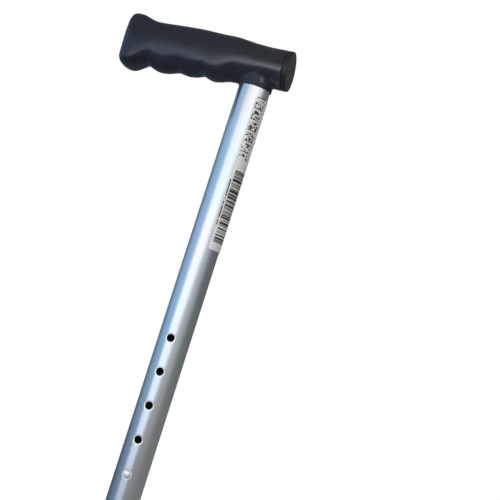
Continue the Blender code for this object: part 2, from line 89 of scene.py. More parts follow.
TUBE_RADIUS = tube_high.x
TUBE_BORE = 0.0108
LEG_RADIUS = leg_high.x
LEG_BORE = 0.0083
HOLE_RADIUS = 0.0030
HOLE_PITCH = 0.0254
HOLE_COUNT = 10
REST_HOLE = 5
CLEARANCE = 0.0003
BUTTON_Z = (button_low.z + button_high.z) / 2
FIRST_HOLE_Z = BUTTON_Z + HOLE_PITCH * (REST_HOLE - 1)
RIM_Z = 0.8038
CAP_AXIS_Z = RIM_Z + 0.01945
CAP_TILT = math.radians(2.7)
print(f"tube {TUBE_RADIUS * 2000:.1f} mm wide, first hole at {FIRST_HOLE_Z:.4f}, collar rim at {RIM_Z:.4f}")

# %% [markdown]
# ## Camera
# The photograph looks a little upward at the grip, from the side with the holes, and the picture is turned
# so that the stick leans to the left. The place and the three directions were worked out from the row of
# holes and the tube's edges, whose real sizes are known. A matrix built from those directions places the
# camera in one step.

# %% Camera


def new_object(name, data):
    """An object in the scene's collection."""
    made = bpy.data.objects.new(name, data)
    bpy.context.scene.collection.objects.link(made)
    return made


VIEW_POINT = Vector((0.2184, -0.8550, RIM_Z - 0.2106))
VIEW_RIGHT = Vector((0.9387, 0.1699, 0.3000)).normalized()
VIEW_BACK = Vector((0.2098, -0.9720, -0.1061)).normalized()
VIEW_UP = VIEW_BACK.cross(VIEW_RIGHT)
camera_data = bpy.data.cameras.new("camera")
camera_data.sensor_width = 36.0
camera_data.lens = 86.4
camera_data.clip_end = 50.0
camera = new_object("camera", camera_data)
turn = Matrix((VIEW_RIGHT, VIEW_UP, VIEW_BACK)).transposed().to_4x4()
camera.matrix_world = Matrix.Translation(VIEW_POINT) @ turn
bpy.context.scene.camera = camera
print("camera", [round(v, 3) for v in VIEW_POINT], "lens", camera_data.lens)

# %% [markdown]
# ## Helpers for pieces
# A finished piece keeps its object at the origin, with its place in its mesh, so that patterns on Object
# coordinates stay where they are. `settle` tells the frame which body carries a piece and which CAD nodes it
# stands for, and prints its faces, its volume and its open edges. `add_piece` does that for a new bmesh.

# %% Piece helpers


def weld(bm, distance=1e-6):
    """Join the vertices that lie together."""
    bmesh.ops.remove_doubles(bm, verts=bm.verts, dist=distance)


def loose_object(name, bm):
    """An object made of a bmesh, which isn't a piece yet."""
    bmesh.ops.recalc_face_normals(bm, faces=bm.faces)
    mesh = bpy.data.meshes.new(name)
    bm.to_mesh(mesh)
    bm.free()
    return new_object(name, mesh)


def shade(mesh, degrees=40.0):
    """Smooth shading, with sharp edges where faces meet at more than an angle."""
    mesh.shade_smooth()
    mesh.set_sharp_from_angle(angle=math.radians(degrees))


def add_piece(name, bm, body, replaced=()):
    """Make an object of a closed bmesh and let it ride on a body."""
    weld(bm)
    piece = loose_object(name, bm)
    shade(piece.data)
    return settle(piece, body, replaced)


def settle(piece, body, replaced=()):
    """Tell the frame about a finished piece, and print its size."""
    if body:
        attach(piece, body)
    if replaced:
        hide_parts(*replaced)
    shape = bmesh.new()
    shape.from_mesh(piece.data)
    open_edges = sum(not edge.is_manifold for edge in shape.edges)
    volume = shape.calc_volume(signed=True) * 1e6
    shape.free()
    print(f"{piece.name}: {len(piece.data.polygons)} faces, {volume:.2f} cm3, open edges {open_edges}")
    return piece


def ring_outline(inner, outer, low, high):
    """Outline of a plain ring, or of a plug where the inner radius is 0."""
    return [(inner, low), (outer, low), (outer, high), (inner, high)]


def rounded(points, radius_steps=4):
    """Outline with rounded corners. Each point is (radius, height) or (radius, height, corner radius)."""
    outline = []
    count = len(points)
    for k, point in enumerate(points):
        here = Vector(point[:2])
        corner = point[2] if len(point) > 2 else 0.0
        before = Vector(points[(k - 1) % count][:2]) - here
        after = Vector(points[(k + 1) % count][:2]) - here
        if not corner:
            outline.append(tuple(here))
            continue
        half = before.angle(after) / 2
        reach = min(corner / math.tan(half), 0.49 * before.length, 0.49 * after.length)
        start = here + before.normalized() * reach
        end = here + after.normalized() * reach
        for step in range(radius_steps + 1):
            t = step / radius_steps
            outline.append(tuple((1 - t)**2 * start + 2 * t * (1 - t) * here + t**2 * end))
    return outline


def turned(outline, sides, axis="Z"):
    """Turn a closed outline of (radius, height) points round an axis through the origin."""
    bm = bmesh.new()
    verts = [bm.verts.new((max(r, 0.0), 0.0, z)) for r, z in outline]
    loop = list(zip(verts, verts[1:] + verts[:1]))
    edges = [bm.edges.new(pair) for pair in loop if pair[0].co.x > 1e-9 or pair[1].co.x > 1e-9]
    bmesh.ops.spin(bm, geom=verts + edges, cent=(0, 0, 0), axis=(0, 0, 1), angle=math.tau, steps=sides)
    weld(bm)
    turns = {"Z": Matrix.Identity(3), "-Y": Matrix.Rotation(math.pi / 2, 3, "X"),
             "X": Matrix.Rotation(math.pi / 2, 3, "Y")}
    bmesh.ops.transform(bm, matrix=turns[axis].to_4x4(), verts=bm.verts)
    return bm


def set_axis(bm, height, tilt=0.0, about=0.0):
    """Lift a turned piece to its height. A tilt turns it a little upward, about a place on its axis."""
    bmesh.ops.rotate(bm, cent=(about, 0, 0), matrix=Matrix.Rotation(-tilt, 3, "Y"), verts=bm.verts)
    bmesh.ops.translate(bm, vec=(0, 0, height), verts=bm.verts)


# %% [markdown]
# ## Helpers for materials
# A procedural material is a small graph. `add_node` makes one node, sets its sockets, and links a socket
# when it is given another node's output. The helpers after it find the graph from the socket that they are
# given. Noise is read in Object coordinates, so a pattern has its real size in metres on every piece.

# %% Node helpers


def add_node(tree, kind, sockets=None, **settings):
    """Make a shader node. Sockets are set to a value, or linked when the value is another socket."""
    made = tree.nodes.new(kind)
    for name, value in settings.items():
        setattr(made, name, value)
    for key, value in (sockets or {}).items():
        if isinstance(value, bpy.types.NodeSocket):
            tree.links.new(value, made.inputs[key])
        else:
            made.inputs[key].default_value = value
    return made


def surface(name, color, roughness, metallic=0.0, **extra):
    """A Principled material. Values that are the same all over go on the shader's own sockets."""
    mat = bpy.data.materials.new(name)
    mat.use_nodes = True
    mat.diffuse_color = (*color, 1.0)
    shader = mat.node_tree.nodes["Principled BSDF"]
    shader.inputs["Base Color"].default_value = (*color, 1.0)
    shader.inputs["Roughness"].default_value = roughness
    shader.inputs["Metallic"].default_value = metallic
    for key, value in extra.items():
        shader.inputs[key.replace("_", " ")].default_value = value
    return mat, mat.node_tree, shader


def place(tree, scale=(1, 1, 1), move=(0, 0, 0)):
    """Object coordinates, stretched or moved."""
    coords = add_node(tree, "ShaderNodeTexCoord")
    return add_node(tree, "ShaderNodeMapping", {
        "Vector": coords.outputs["Object"], "Scale": scale, "Location": move}).outputs[0]


def noise(vector, scale, detail=3.0, roughness=0.5):
    """Soft noise from 0 to 1."""
    return add_node(vector.id_data, "ShaderNodeTexNoise", {
        "Vector": vector, "Scale": scale, "Detail": detail, "Roughness": roughness}).outputs["Fac"]


def ramp(value, low, high, out_low=0.0, out_high=1.0, smooth=True):
    """Map a value from one range to another, held at both ends."""
    limits = {"Value": value, "From Min": low, "From Max": high, "To Min": out_low, "To Max": out_high}
    step = "SMOOTHSTEP" if smooth else "LINEAR"
    return add_node(value.id_data, "ShaderNodeMapRange", limits, interpolation_type=step).outputs["Result"]


def calc(operation, first, second=0.0):
    """One step of arithmetic on a node's output."""
    return add_node(first.id_data, "ShaderNodeMath", {0: first, 1: second}, operation=operation).outputs[0]


def times(first, second):
    """Two values multiplied."""
    return calc("MULTIPLY", first, second)


def across_axis(x, y):
    """How far a place with this X and Y is from the stick's axis."""
    return calc("SQRT", calc("ADD", times(x, x), times(y, y)))


def blend_color(factor, first, second):
    """Mix two colours, each a tuple or a socket."""
    first, second = ((*c, 1.0) if isinstance(c, tuple) else c for c in (first, second))
    colors = {0: factor, 6: first, 7: second}
    return add_node(factor.id_data, "ShaderNodeMix", colors, data_type="RGBA").outputs[2]


def tone_line(value, tones):
    """Smooth steps between tones that stand at set values."""
    low, high = tones[0][0], tones[-1][0]
    line = add_node(value.id_data, "ShaderNodeValToRGB", {0: ramp(value, low, high, smooth=False)})
    stops = line.color_ramp.elements
    stops.remove(stops[1])
    for k, (level, tone) in enumerate(tones):
        share = (level - low) / (high - low)
        stop = stops[0] if k == 0 else stops.new(share)
        stop.position = share
        stop.color = (*tone, 1.0)
    return line.outputs[0]


def feed(shader, name, value):
    """Link a value to one of a shader's sockets."""
    shader.id_data.links.new(value, shader.inputs[name])


def emboss(shader, height, distance):
    """Feed a height in 0 to 1 to the shader's normal."""
    bump = add_node(shader.id_data, "ShaderNodeBump", {"Height": height, "Distance": distance})
    feed(shader, "Normal", bump.outputs[0])


def split(vector):
    """The X, Y and Z of a vector."""
    return add_node(vector.id_data, "ShaderNodeSeparateXYZ", {0: vector}).outputs


# %% [markdown]
# ## Plastic
# The grip is a thick moulding in a dark blue-grey plastic with a satin skin. Its mould was sparked, which
# leaves a very fine even grain. Under it, slow noise shifts the tone a little, as pigment does, and rubs
# the skin smoother in patches. The same recipe in other tones serves the end cap, the bush and the plug.
# The grip's hand part is blasted, so it shines less; its bluer tone and the bluish tint of its reflection are
# painted reflection. Its collar shines less still, and its lighter, bluer tone and bluer reflection tint are
# painted reflection too. One small place on the collar carries a painted highlight. The end cap's face is a
# little lighter than its skirt, which is painted light that the face catches.

# %% Plastic finishes


def plastic(name, color, second, roughness, grain, sheen=0.5, index=1.5):
    """Moulded plastic: two close tones, a roughness that drifts, and a spark-eroded grain."""
    mat, tree, shader = surface(name, color, roughness, Specular_IOR_Level=sheen, IOR=index)
    where = place(tree)
    slow = noise(where, 38.0, 2.0)
    feed(shader, "Base Color", blend_color(ramp(slow, 0.35, 0.65), color, second))
    rub = noise(where, 90.0, 4.0, 0.6)
    feed(shader, "Roughness", ramp(rub, 0.3, 0.7, roughness - 0.03, roughness + 0.04))
    emboss(shader, noise(where, 2600.0, 2.0), grain)
    return mat


# Where the hand part begins; its bluer tone and reflection tint are painted reflection.
HAND_PART_FROM = (-0.018, -0.036)
SHINE_FALLS = (0.008, -0.055, 1.04, 0.46)
# The collar's zone, whose lighter, bluer tone and bluer reflection tint are painted reflection.
COLLAR_SKIN_RADII = (0.0142, 0.0132)
COLLAR_SKIN_HEIGHTS = (RIM_Z + 0.0140, RIM_Z + 0.0110)
COLLAR_SHINE = 0.19
# The painted highlight: a small spot on the collar whose reflection is stronger and whiter.
PAINTED_HIGHLIGHT_STRETCH = 0.6
PAINTED_HIGHLIGHT_SPOT = (0.0060, -0.0114, (RIM_Z + 0.0060) * PAINTED_HIGHLIGHT_STRETCH)
PAINTED_HIGHLIGHT_RADII = (0.0026, 0.0012)
PAINTED_HIGHLIGHT_SHINE = 0.62


def grip_finish():
    """The grip's plastic, with painted reflection tones on the hand part and the collar, and a painted
    highlight on the collar.
    """
    mat = plastic("grip_skin", (0.0100, 0.0118, 0.0190), (0.0120, 0.0138, 0.0215), 0.20, 0.000005, 1.0, 1.58)
    tree = mat.node_tree
    shader = tree.nodes["Principled BSDF"]
    x, y, z = split(place(tree))
    # Painted reflection: the hand part gets a bluer tone and a bluish tint on its reflection.
    hand_part = ramp(x, *HAND_PART_FROM)
    collar = times(ramp(across_axis(x, y), *COLLAR_SKIN_RADII), ramp(z, *COLLAR_SKIN_HEIGHTS))
    # Painted highlight: a small spot on the collar whose reflection is stronger and whiter.
    highlight_distance = add_node(tree, "ShaderNodeVectorMath", {0: place(tree, (1.0, 1.0, PAINTED_HIGHLIGHT_STRETCH)), 1: PAINTED_HIGHLIGHT_SPOT},
                    operation="DISTANCE").outputs["Value"]
    painted_highlight = ramp(highlight_distance, *PAINTED_HIGHLIGHT_RADII)
    plain = shader.inputs["Base Color"].links[0].from_socket
    skin = blend_color(hand_part, plain, (0.0128, 0.0162, 0.0262))
    # Painted reflection: the collar gets a lighter, bluer tone and a bluer tint on its reflection.
    feed(shader, "Base Color", blend_color(collar, skin, (0.0235, 0.0275, 0.0425)))
    tint = blend_color(hand_part, (0.97, 0.98, 1.0), (0.82, 0.91, 1.0))
    feed(shader, "Specular Tint", blend_color(calc("SUBTRACT", collar, painted_highlight), tint, (0.66, 0.76, 1.0)))
    shine = times(ramp(x, *SHINE_FALLS, smooth=False), ramp(collar, 0.0, 1.0, 1.0, COLLAR_SHINE))
    feed(shader, "Specular IOR Level", calc("MAXIMUM", shine, times(painted_highlight, PAINTED_HIGHLIGHT_SHINE)))
    return mat


grip_plastic = grip_finish()
cap_plastic = plastic("cap_skin", (0.0105, 0.0120, 0.0150), (0.0125, 0.0138, 0.0165), 0.42, 0.00001, 0.5)
# The cap's face: the same plastic a little lighter, as painted light that the face catches.
cap_face_painted_light = plastic("cap_face", (0.0470, 0.0480, 0.0450), (0.0540, 0.0545, 0.0510), 0.50, 0.00002, 0.4)
bush_plastic = plastic("bush_plastic", (0.012, 0.012, 0.014), (0.016, 0.016, 0.018), 0.36, 0.00001)
plug_plastic = plastic("plug_plastic", (0.020, 0.020, 0.022), (0.026, 0.026, 0.028), 0.45, 0.00002)

# %% [markdown]
# ## Anodised tube
# A drawn tube carries faint lines along its length, and anodising turns them into a soft satin. Noise that
# is stretched a hundred times along Z gives such lines in both the roughness and the height. A second,
# coarser noise adds the few handling scratches that a stick picks up. The anodised film is a little uneven,
# so slow noise lets its tint drift a little. The tints listed along the tube's height are painted
# reflection: they copy the tones that the tube reflects at each height, and are lightest near the grip. The
# edges of the holes are bare metal, painted near white and hardly metallic as a painted highlight round
# each hole. The bore is dull and painted dark, as painted shade.

# %% Metal finishes


# Painted reflection: tints listed by height, copying the tones that the tube reflects there.
PAINTED_REFLECTION_TINTS = (
    (0.350, (0.85, 0.86, 0.87)), (0.560, (0.86, 0.89, 0.90)), (0.620, (0.80, 0.88, 0.91)),
    (0.685, (0.85, 0.84, 0.92)), (0.745, (0.76, 0.89, 0.91)), (0.785, (0.94, 0.92, 0.94)),
    (0.832, (0.96, 0.95, 0.95)))
TINTED_DRIFT = 0.25


def drawn_metal(name, color, roughness, line_depth, scratches=0.0, metallic=1.0, tints=()):
    """Drawn or rolled metal with fine lines along Z and a few longer scratches."""
    mat, tree, shader = surface(name, color, roughness, metallic)
    fine = noise(place(tree, (1.0, 1.0, 0.008)), 5200.0, 2.0)
    broad = noise(place(tree, (1.0, 1.0, 0.02)), 700.0, 3.0)
    mixed = calc("ADD", times(fine, 0.5), times(broad, 0.5))
    rough = ramp(mixed, 0.35, 0.65, roughness - 0.03, roughness + 0.03)
    if scratches:
        cloud = noise(place(tree, (1.0, 1.0, 0.05), (0.01, 0.02, 0.0)), 900.0, 4.0, 0.7)
        rough = calc("ADD", rough, times(ramp(cloud, 0.66, 0.72), scratches))
    feed(shader, "Roughness", rough)
    tone = ramp(noise(place(tree), 24.0, 2.0), 0.3, 0.7)
    second = tuple(c * 0.965 for c in color)
    # Painted reflection: tints listed by height take the place of the plain colour.
    if tints:
        color = tone_line(split(place(tree))["Z"], tints)
    drift = times(tone, TINTED_DRIFT if tints else 1.0)
    feed(shader, "Base Color", blend_color(drift, color, second))
    emboss(shader, mixed, line_depth)
    return mat


tube_aluminium = drawn_metal("tube_aluminium", (0.86, 0.88, 0.91), 0.24, 0.0000035, 0.06, tints=PAINTED_REFLECTION_TINTS)
leg_aluminium = drawn_metal("leg_aluminium", (0.84, 0.85, 0.87), 0.27, 0.0000045, 0.10)
# The holes' bare edges: near white and hardly metallic, a painted highlight round each hole.
bare_aluminium = drawn_metal("bare_aluminium", (0.93, 0.95, 0.96), 0.45, 0.000002, metallic=0.15)
# The bore: dull, and dark as painted shade inside the tube.
bore_aluminium = drawn_metal("bore_aluminium", (0.10, 0.12, 0.125), 0.60, 0.000002, metallic=0.8)
button_nickel = drawn_metal("button_nickel", (0.90, 0.92, 0.95), 0.30, 0.000001, 0.05, 0.6)
spring_steel = drawn_metal("spring_steel", (0.45, 0.46, 0.48), 0.30, 0.000003)
washer_steel = drawn_metal("washer_steel", (0.50, 0.50, 0.51), 0.34, 0.000004)
screw_zinc = drawn_metal("screw_zinc", (0.70, 0.70, 0.68), 0.28, 0.000002)

# %% [markdown]
# ## Rubber
# The foot is matt black rubber with a cloudy bloom and a sandy mould texture. Ground dust greys its lower
# edge.

# %% Rubber finish
FOOT_DUST_HEIGHT = 0.006


def rubber(name, color):
    """Matt rubber with bloom, grain and dust near the ground."""
    mat, tree, shader = surface(name, color, 0.62, Specular_IOR_Level=0.35)
    where = place(tree)
    bloom = ramp(noise(where, 110.0, 5.0, 0.6), 0.35, 0.75)
    dusty = ramp(split(where)["Z"], 0.0, FOOT_DUST_HEIGHT, 1.0, 0.0)
    speckle = ramp(noise(where, 900.0, 3.0), 0.4, 0.6)
    dust = times(times(dusty, speckle), 0.5)
    bloomed = blend_color(bloom, color, tuple(c * 1.6 for c in color))
    feed(shader, "Base Color", blend_color(dust, bloomed, (0.16, 0.15, 0.13)))
    feed(shader, "Roughness", ramp(bloom, 0.0, 1.0, 0.56, 0.70))
    emboss(shader, noise(where, 1900.0, 3.0), 0.00004)
    return mat


ferrule_rubber = rubber("ferrule_rubber", (0.016, 0.016, 0.017))

# %% [markdown]
# ## The grip
# The grip is one moulding: an oval bar with three swells that part the fingers, a flared end that leans
# back a little, and a short collar that takes the tube. Its shape follows a rule. Four smooth lines give
# the top, the underside, the height of the widest place and the half width along the bar. Two more give how
# square the oval is above and below that place, and the last evens out the underside, so that each swell
# also bulges sideways. The bar and the collar could be joined with a Boolean alone, but that leaves a
# knife-sharp crease. Here the joined mesh is remeshed into even small faces, and each vertex is then moved
# onto a rule that blends both forms over a small radius, as a mould maker's fillet does. A smoothing of the
# flared end's lower corner takes its last edge off.

# %% The grip's lines
GRIP_REACH = 0.1094
SEAM_REACH = 0.0185
END_LEAN = 0.036
END_MIDDLE = 0.0110
END_ROUND_TOP = 0.0070
END_ROUND_SIDE = 0.0120
END_ROUND_BOTTOM = 0.0079
COLLAR_RADIUS = 0.0129
COLLAR_SINK = 0.0200
FILLET = 0.0015
SWELL_SPREAD = 0.22
LEAST_FALL = 0.0008
TOP_LINE = ((-0.1010, 0.0342), (-0.0870, 0.0316), (-0.0660, 0.0332), (-0.0550, 0.0341), (-0.0450, 0.0346),
            (-0.0350, 0.0347), (-0.0230, 0.0351), (-0.0150, 0.0345), (-0.0060, 0.0338), (0.0040, 0.0336),
            (0.0185, 0.0343))
UNDER_LINE = ((-0.0986, -0.0088), (-0.0946, -0.0074), (-0.0906, -0.0053), (-0.0851, -0.0028),
              (-0.0811, -0.0043), (-0.0751, -0.0056), (-0.0696, -0.0050), (-0.0596, -0.0021),
              (-0.0566, -0.0026), (-0.0526, -0.0029), (-0.0476, -0.0020), (-0.0411, 0.0005),
              (-0.0381, -0.0006), (-0.0331, -0.0015), (-0.0281, -0.0008), (-0.0206, 0.0009),
              (-0.0176, 0.0011), (-0.0130, 0.0013), (0.0110, 0.0042), (0.0185, 0.0041))
UNDER_MEAN_LINE = ((-0.1000, -0.0060), (-0.0780, -0.0042), (-0.0545, -0.0023), (-0.0355, -0.0007),
                   (-0.0100, 0.0022), (0.0185, 0.0043))
WAIST_LINE = ((-0.1094, 0.0008), (-0.0985, 0.0002), (-0.0950, 0.0016), (-0.0920, 0.0046),
              (-0.0889, 0.0077), (-0.0856, 0.0101), (-0.0818, 0.0120), (-0.0740, 0.0138), (-0.0680, 0.0140),
              (-0.0590, 0.0134), (-0.0500, 0.0134), (-0.0430, 0.0112), (-0.0360, 0.0110), (-0.0280, 0.0133),
              (-0.0206, 0.0153), (-0.0130, 0.0164), (0.0000, 0.0163), (0.0185, 0.0168))
WIDTH_LINE = ((-0.0990, 0.0154), (-0.0850, 0.0141), (-0.0600, 0.0150), (-0.0300, 0.0153), (0.0, 0.0158),
              (0.0185, 0.0151))
OVAL_LINE = ((-0.1100, 3.0), (-0.0950, 2.5), (-0.0800, 2.3), (0.0185, 2.3))
LOWER_OVAL_LINE = ((-0.1100, 3.4), (-0.0950, 2.7), (-0.0800, 2.3), (-0.0520, 2.3), (-0.0400, 2.5),
                   (-0.0300, 2.4), (-0.0180, 1.8), (0.0185, 1.8))


def along(line, x):
    """Smooth line through (x, value) points that never overshoots them, read at many places at once."""
    xs, values = (np.array(column) for column in zip(*line))
    steps = np.diff(values) / np.diff(xs)
    slopes = np.zeros(len(xs))
    same_way = steps[:-1] * steps[1:] > 0
    slopes[1:-1][same_way] = 2 * (steps[:-1] * steps[1:])[same_way] / (steps[:-1] + steps[1:])[same_way]
    x = np.clip(x, xs[0], xs[-1])
    k = np.clip(np.searchsorted(xs, x, side="right") - 1, 0, len(xs) - 2)
    width = xs[k + 1] - xs[k]
    t = (x - xs[k]) / width
    return ((2 * t**3 - 3 * t**2 + 1) * values[k] + (t**3 - 2 * t**2 + t) * slopes[k] * width
            + (3 * t**2 - 2 * t**3) * values[k + 1] + (t**3 - t**2) * slopes[k + 1] * width)


def end_inset(x, radius):
    """How far the rounded flared end draws a line in."""
    depth = np.clip(radius - GRIP_REACH - x, 0.0, radius * 0.9999)
    return radius - np.sqrt(radius**2 - depth**2)


def leaning(points):
    """Reach along the bar, measured square to the flared end, which leans back a little."""
    return points[:, 0] + END_LEAN * (points[:, 2] - END_MIDDLE)


def section(x, end):
    """The height of the bar's widest place, its rise and fall from there, its half width and its swell."""
    waist = along(WAIST_LINE, x)
    under = along(UNDER_LINE, x)
    rise = along(TOP_LINE, x) - waist - end_inset(end, END_ROUND_TOP)
    fall = waist - under - end_inset(end, END_ROUND_BOTTOM)
    reach = along(WIDTH_LINE, x) - end_inset(end, END_ROUND_SIDE)
    return waist, rise, fall, reach, (along(UNDER_MEAN_LINE, x) - under) * SWELL_SPREAD


def grip_rule(points):
    """Below 0 inside the oval bar, 0 on its skin. Points are relative to the collar's rim."""
    x, y, z = points.T
    waist, rise, fall, reach, swell = section(x, leaning(points))
    up = z - waist
    share = np.abs(up) / np.where(up > 0, rise, np.maximum(fall, LEAST_FALL))
    power = np.where(up > 0, along(OVAL_LINE, x), along(LOWER_OVAL_LINE, x))
    reach = reach + np.where(up < 0, swell * np.minimum(share, 1.0)**(power / 2), 0.0)
    return ((np.abs(y) / reach)**power + share**power)**(1 / power) - 1


def slope_of(rule, points, step=2e-6):
    """Gradient of a rule at many points."""
    shifts = np.eye(3) * step
    return np.stack([(rule(points + s) - rule(points - s)) / (2 * step) for s in shifts], axis=1)


def bar_distance(points):
    """Distance to the bar's skin, good close to it. The flared end is flat in its middle."""
    slope = slope_of(grip_rule, points)
    skin = grip_rule(points) / np.maximum(np.linalg.norm(slope, axis=1), 1e-6)
    return np.maximum(skin, -GRIP_REACH - leaning(points))


def moulded_rule(points):
    """The bar and the collar joined with a fillet."""
    bar = bar_distance(points)
    collar = np.hypot(points[:, 0], points[:, 1]) - COLLAR_RADIUS
    collar = np.maximum(collar, points[:, 2] - COLLAR_SINK)
    h = np.clip(0.5 + 0.5 * (collar - bar) / FILLET, 0.0, 1.0)
    return collar * (1 - h) + bar * h - FILLET * h * (1 - h)


# %% Build the grip's skin
GRIP_RING = 160
GRIP_STEP = 0.0008
SEAM_EXTRA = 0.0035
COLLAR_EXTRA = 0.0050
GRIP_VOXEL = 0.00055
SKIN_STEP = 0.0004
SKIN_ROUNDS = 6
RIM_BAND = 0.0012
CORNER_REACH = 0.095
CORNER_HEIGHT = 0.014
CORNER_FADE = (0.006, 0.008)
CORNER_ROUNDS = 110


def bar_mesh():
    """Loft the oval bar, a little past the seam so that the cut there is clean."""
    xs = list(END_ROUND_SIDE * (1 - np.cos(np.linspace(0.0, math.pi / 2, 26))) - GRIP_REACH)
    end = SEAM_REACH + SEAM_EXTRA
    xs += list(np.linspace(xs[-1], end, math.ceil((end - xs[-1]) / GRIP_STEP) + 1)[1:])
    angles = np.linspace(0.0, math.tau, GRIP_RING, endpoint=False)
    bm = bmesh.new()
    rings = []
    for x in xs:
        here = np.full(GRIP_RING, x)
        waist, rise, fall, reach = section(here, here)[:4]
        power = 2 / along(OVAL_LINE, here)
        up = np.sin(angles)
        y = reach * np.sign(np.cos(angles)) * np.abs(np.cos(angles))**power
        z = waist + np.where(up > 0, rise, fall) * np.sign(up) * np.abs(up)**power
        rings.append([bm.verts.new(point) for point in zip(here, y, z + RIM_Z)])
    for ring, following in zip(rings, rings[1:]):
        for k in range(GRIP_RING):
            j = (k + 1) % GRIP_RING
            bm.faces.new((ring[k], ring[j], following[j], following[k]))
    bm.faces.new(rings[0])
    bm.faces.new(rings[-1])
    return bm


def bake_modifiers(obj, *tools):
    """Turn an object's modifiers into its mesh, and remove the tools that they used."""
    result = bpy.data.meshes.new_from_object(obj.evaluated_get(bpy.context.evaluated_depsgraph_get()))
    obj.modifiers.clear()
    obj.data = result
    for tool in tools:
        bpy.data.objects.remove(tool)


def combine(obj, tool, operation="DIFFERENCE"):
    """Apply one exact Boolean."""
    modifier = obj.modifiers.new(operation.lower(), "BOOLEAN")
    modifier.operation = operation
    modifier.solver = "EXACT"
    modifier.object = tool
    bake_modifiers(obj, tool)


collar_outline = ring_outline(0.0, COLLAR_RADIUS, RIM_Z - COLLAR_EXTRA, RIM_Z + COLLAR_SINK)
grip = loose_object("grip", bar_mesh())
combine(grip, loose_object("collar", turned(collar_outline, 96)), "UNION")
remesh = grip.modifiers.new("even", "REMESH")
remesh.mode = "VOXEL"
remesh.voxel_size = GRIP_VOXEL
bake_modifiers(grip)
spots = np.empty(len(grip.data.vertices) * 3)
grip.data.vertices.foreach_get("co", spots)
spots = spots.reshape(-1, 3) - (0, 0, RIM_Z)
past_seam = spots[:, 0] > SEAM_REACH + SEAM_EXTRA / 2
past_rim = (spots[:, 2] < RIM_BAND - COLLAR_EXTRA) & (np.hypot(*spots.T[:2]) < COLLAR_RADIUS + FILLET)
skin = ~(past_seam | past_rim)
for _ in range(SKIN_ROUNDS):
    slope = slope_of(moulded_rule, spots)
    gap = moulded_rule(spots) / np.maximum((slope**2).sum(axis=1), 0.1)
    spots -= (skin * np.clip(gap, -SKIN_STEP, SKIN_STEP))[:, None] * slope
grip.data.vertices.foreach_set("co", (spots + (0, 0, RIM_Z)).ravel())
corner = grip.vertex_groups.new(name="corner")
share = np.clip((-CORNER_REACH - spots[:, 0]) / CORNER_FADE[0], 0.0, 1.0)
share *= np.clip((CORNER_HEIGHT - spots[:, 2]) / CORNER_FADE[1], 0.0, 1.0)
for k in np.flatnonzero(share):
    corner.add([int(k)], share[k], "REPLACE")
soften = grip.modifiers.new("soften", "SMOOTH")
soften.iterations = CORNER_ROUNDS
soften.vertex_group = corner.name
bake_modifiers(grip)
print("grip remeshed:", len(grip.data.polygons), "faces; skin off its rule by",
      f"{np.abs(moulded_rule(spots[skin])).max() * 1000:.3f} mm at most")

# %% [markdown]
# ### Opening the grip
# The moulding is open in two places: the socket that takes the tube, and the chamber behind the end cap,
# with a hole for the screw between them. Each cutter is one turned outline. The rim's and the chamber's
# also trim the face around the opening and leave a small chamfer. A groove as thin as paper runs round the
# collar, just above its rim.

# %% Cut the socket and the chamber
SOCKET_RADIUS = TUBE_RADIUS + CLEARANCE
SOCKET_TOP = tube_high.z + CLEARANCE
RIM_EDGE = 0.00025
SEAM_EDGE = 0.0004
CHAMBER_RADIUS = 0.0112
CHAMBER_FLOOR = 0.0147
SCREW_HOLE_RADIUS = 0.0022
CAP_RADIUS = 0.01515
TRIM = 0.0012
CUTTER_SIDES = 128
CUTTER_EXTRA = 0.004
RIM_DEPTH = 0.010
SOCKET_DEPTH = 0.012
GROOVE_RADII = (COLLAR_RADIUS - 0.00022, COLLAR_RADIUS + 0.0004)
GROOVE_HEIGHTS = (0.00125, 0.00165)
groove_outline = ring_outline(*GROOVE_RADII, *GROOVE_HEIGHTS)
socket_outline = ring_outline(0.0, SOCKET_RADIUS, RIM_Z - SOCKET_DEPTH, SOCKET_TOP)
rim_outline = [(0.0, -RIM_DEPTH), (COLLAR_RADIUS + TRIM, -RIM_DEPTH), (COLLAR_RADIUS + TRIM, TRIM + RIM_EDGE),
               (COLLAR_RADIUS - RIM_EDGE, 0.0), (0.0, 0.0)]
chamber_outline = [(0.0, SOCKET_RADIUS / 2), (SCREW_HOLE_RADIUS, SOCKET_RADIUS / 2),
                   (SCREW_HOLE_RADIUS, CHAMBER_FLOOR), (CHAMBER_RADIUS, CHAMBER_FLOOR),
                   (CHAMBER_RADIUS, SEAM_REACH), (CAP_RADIUS - SEAM_EDGE, SEAM_REACH),
                   (CAP_RADIUS + TRIM, SEAM_REACH - SEAM_EDGE - TRIM),
                   (CAP_RADIUS + CUTTER_EXTRA, SEAM_REACH - SEAM_EDGE),
                   (CAP_RADIUS + CUTTER_EXTRA, SEAM_REACH + 2 * CUTTER_EXTRA),
                   (0.0, SEAM_REACH + 2 * CUTTER_EXTRA)]
for name, outline in (("rim", rim_outline), ("groove", groove_outline)):
    cutter = turned(outline, CUTTER_SIDES)
    set_axis(cutter, RIM_Z)
    combine(grip, loose_object(name, cutter))
combine(grip, loose_object("socket", turned(socket_outline, CUTTER_SIDES)))
chamber = turned(chamber_outline, CUTTER_SIDES, "X")
set_axis(chamber, CAP_AXIS_Z, CAP_TILT, SEAM_REACH)
combine(grip, loose_object("chamber", chamber))
shade(grip.data, 35.0)
grip.data.materials.clear()
grip.data.materials.append(grip_plastic)
settle(grip, "upper", ["handle"])

# %% [markdown]
# ### End cap
# The cap is turned: a hollow spigot pushes into the chamber, and the outside is a short skirt with a
# rounded edge and a shallow dome. A groove as narrow as a hair shows where it meets the grip.

# %% Turn the end cap


def quarter(centre, radii, first, last, steps):
    """Points on an arc of an ellipse, in degrees from the outline's radius axis."""
    turns = np.radians(np.linspace(first, last, steps + 1))
    return [(centre[0] + radii[0] * math.cos(a), centre[1] + radii[1] * math.sin(a)) for a in turns]


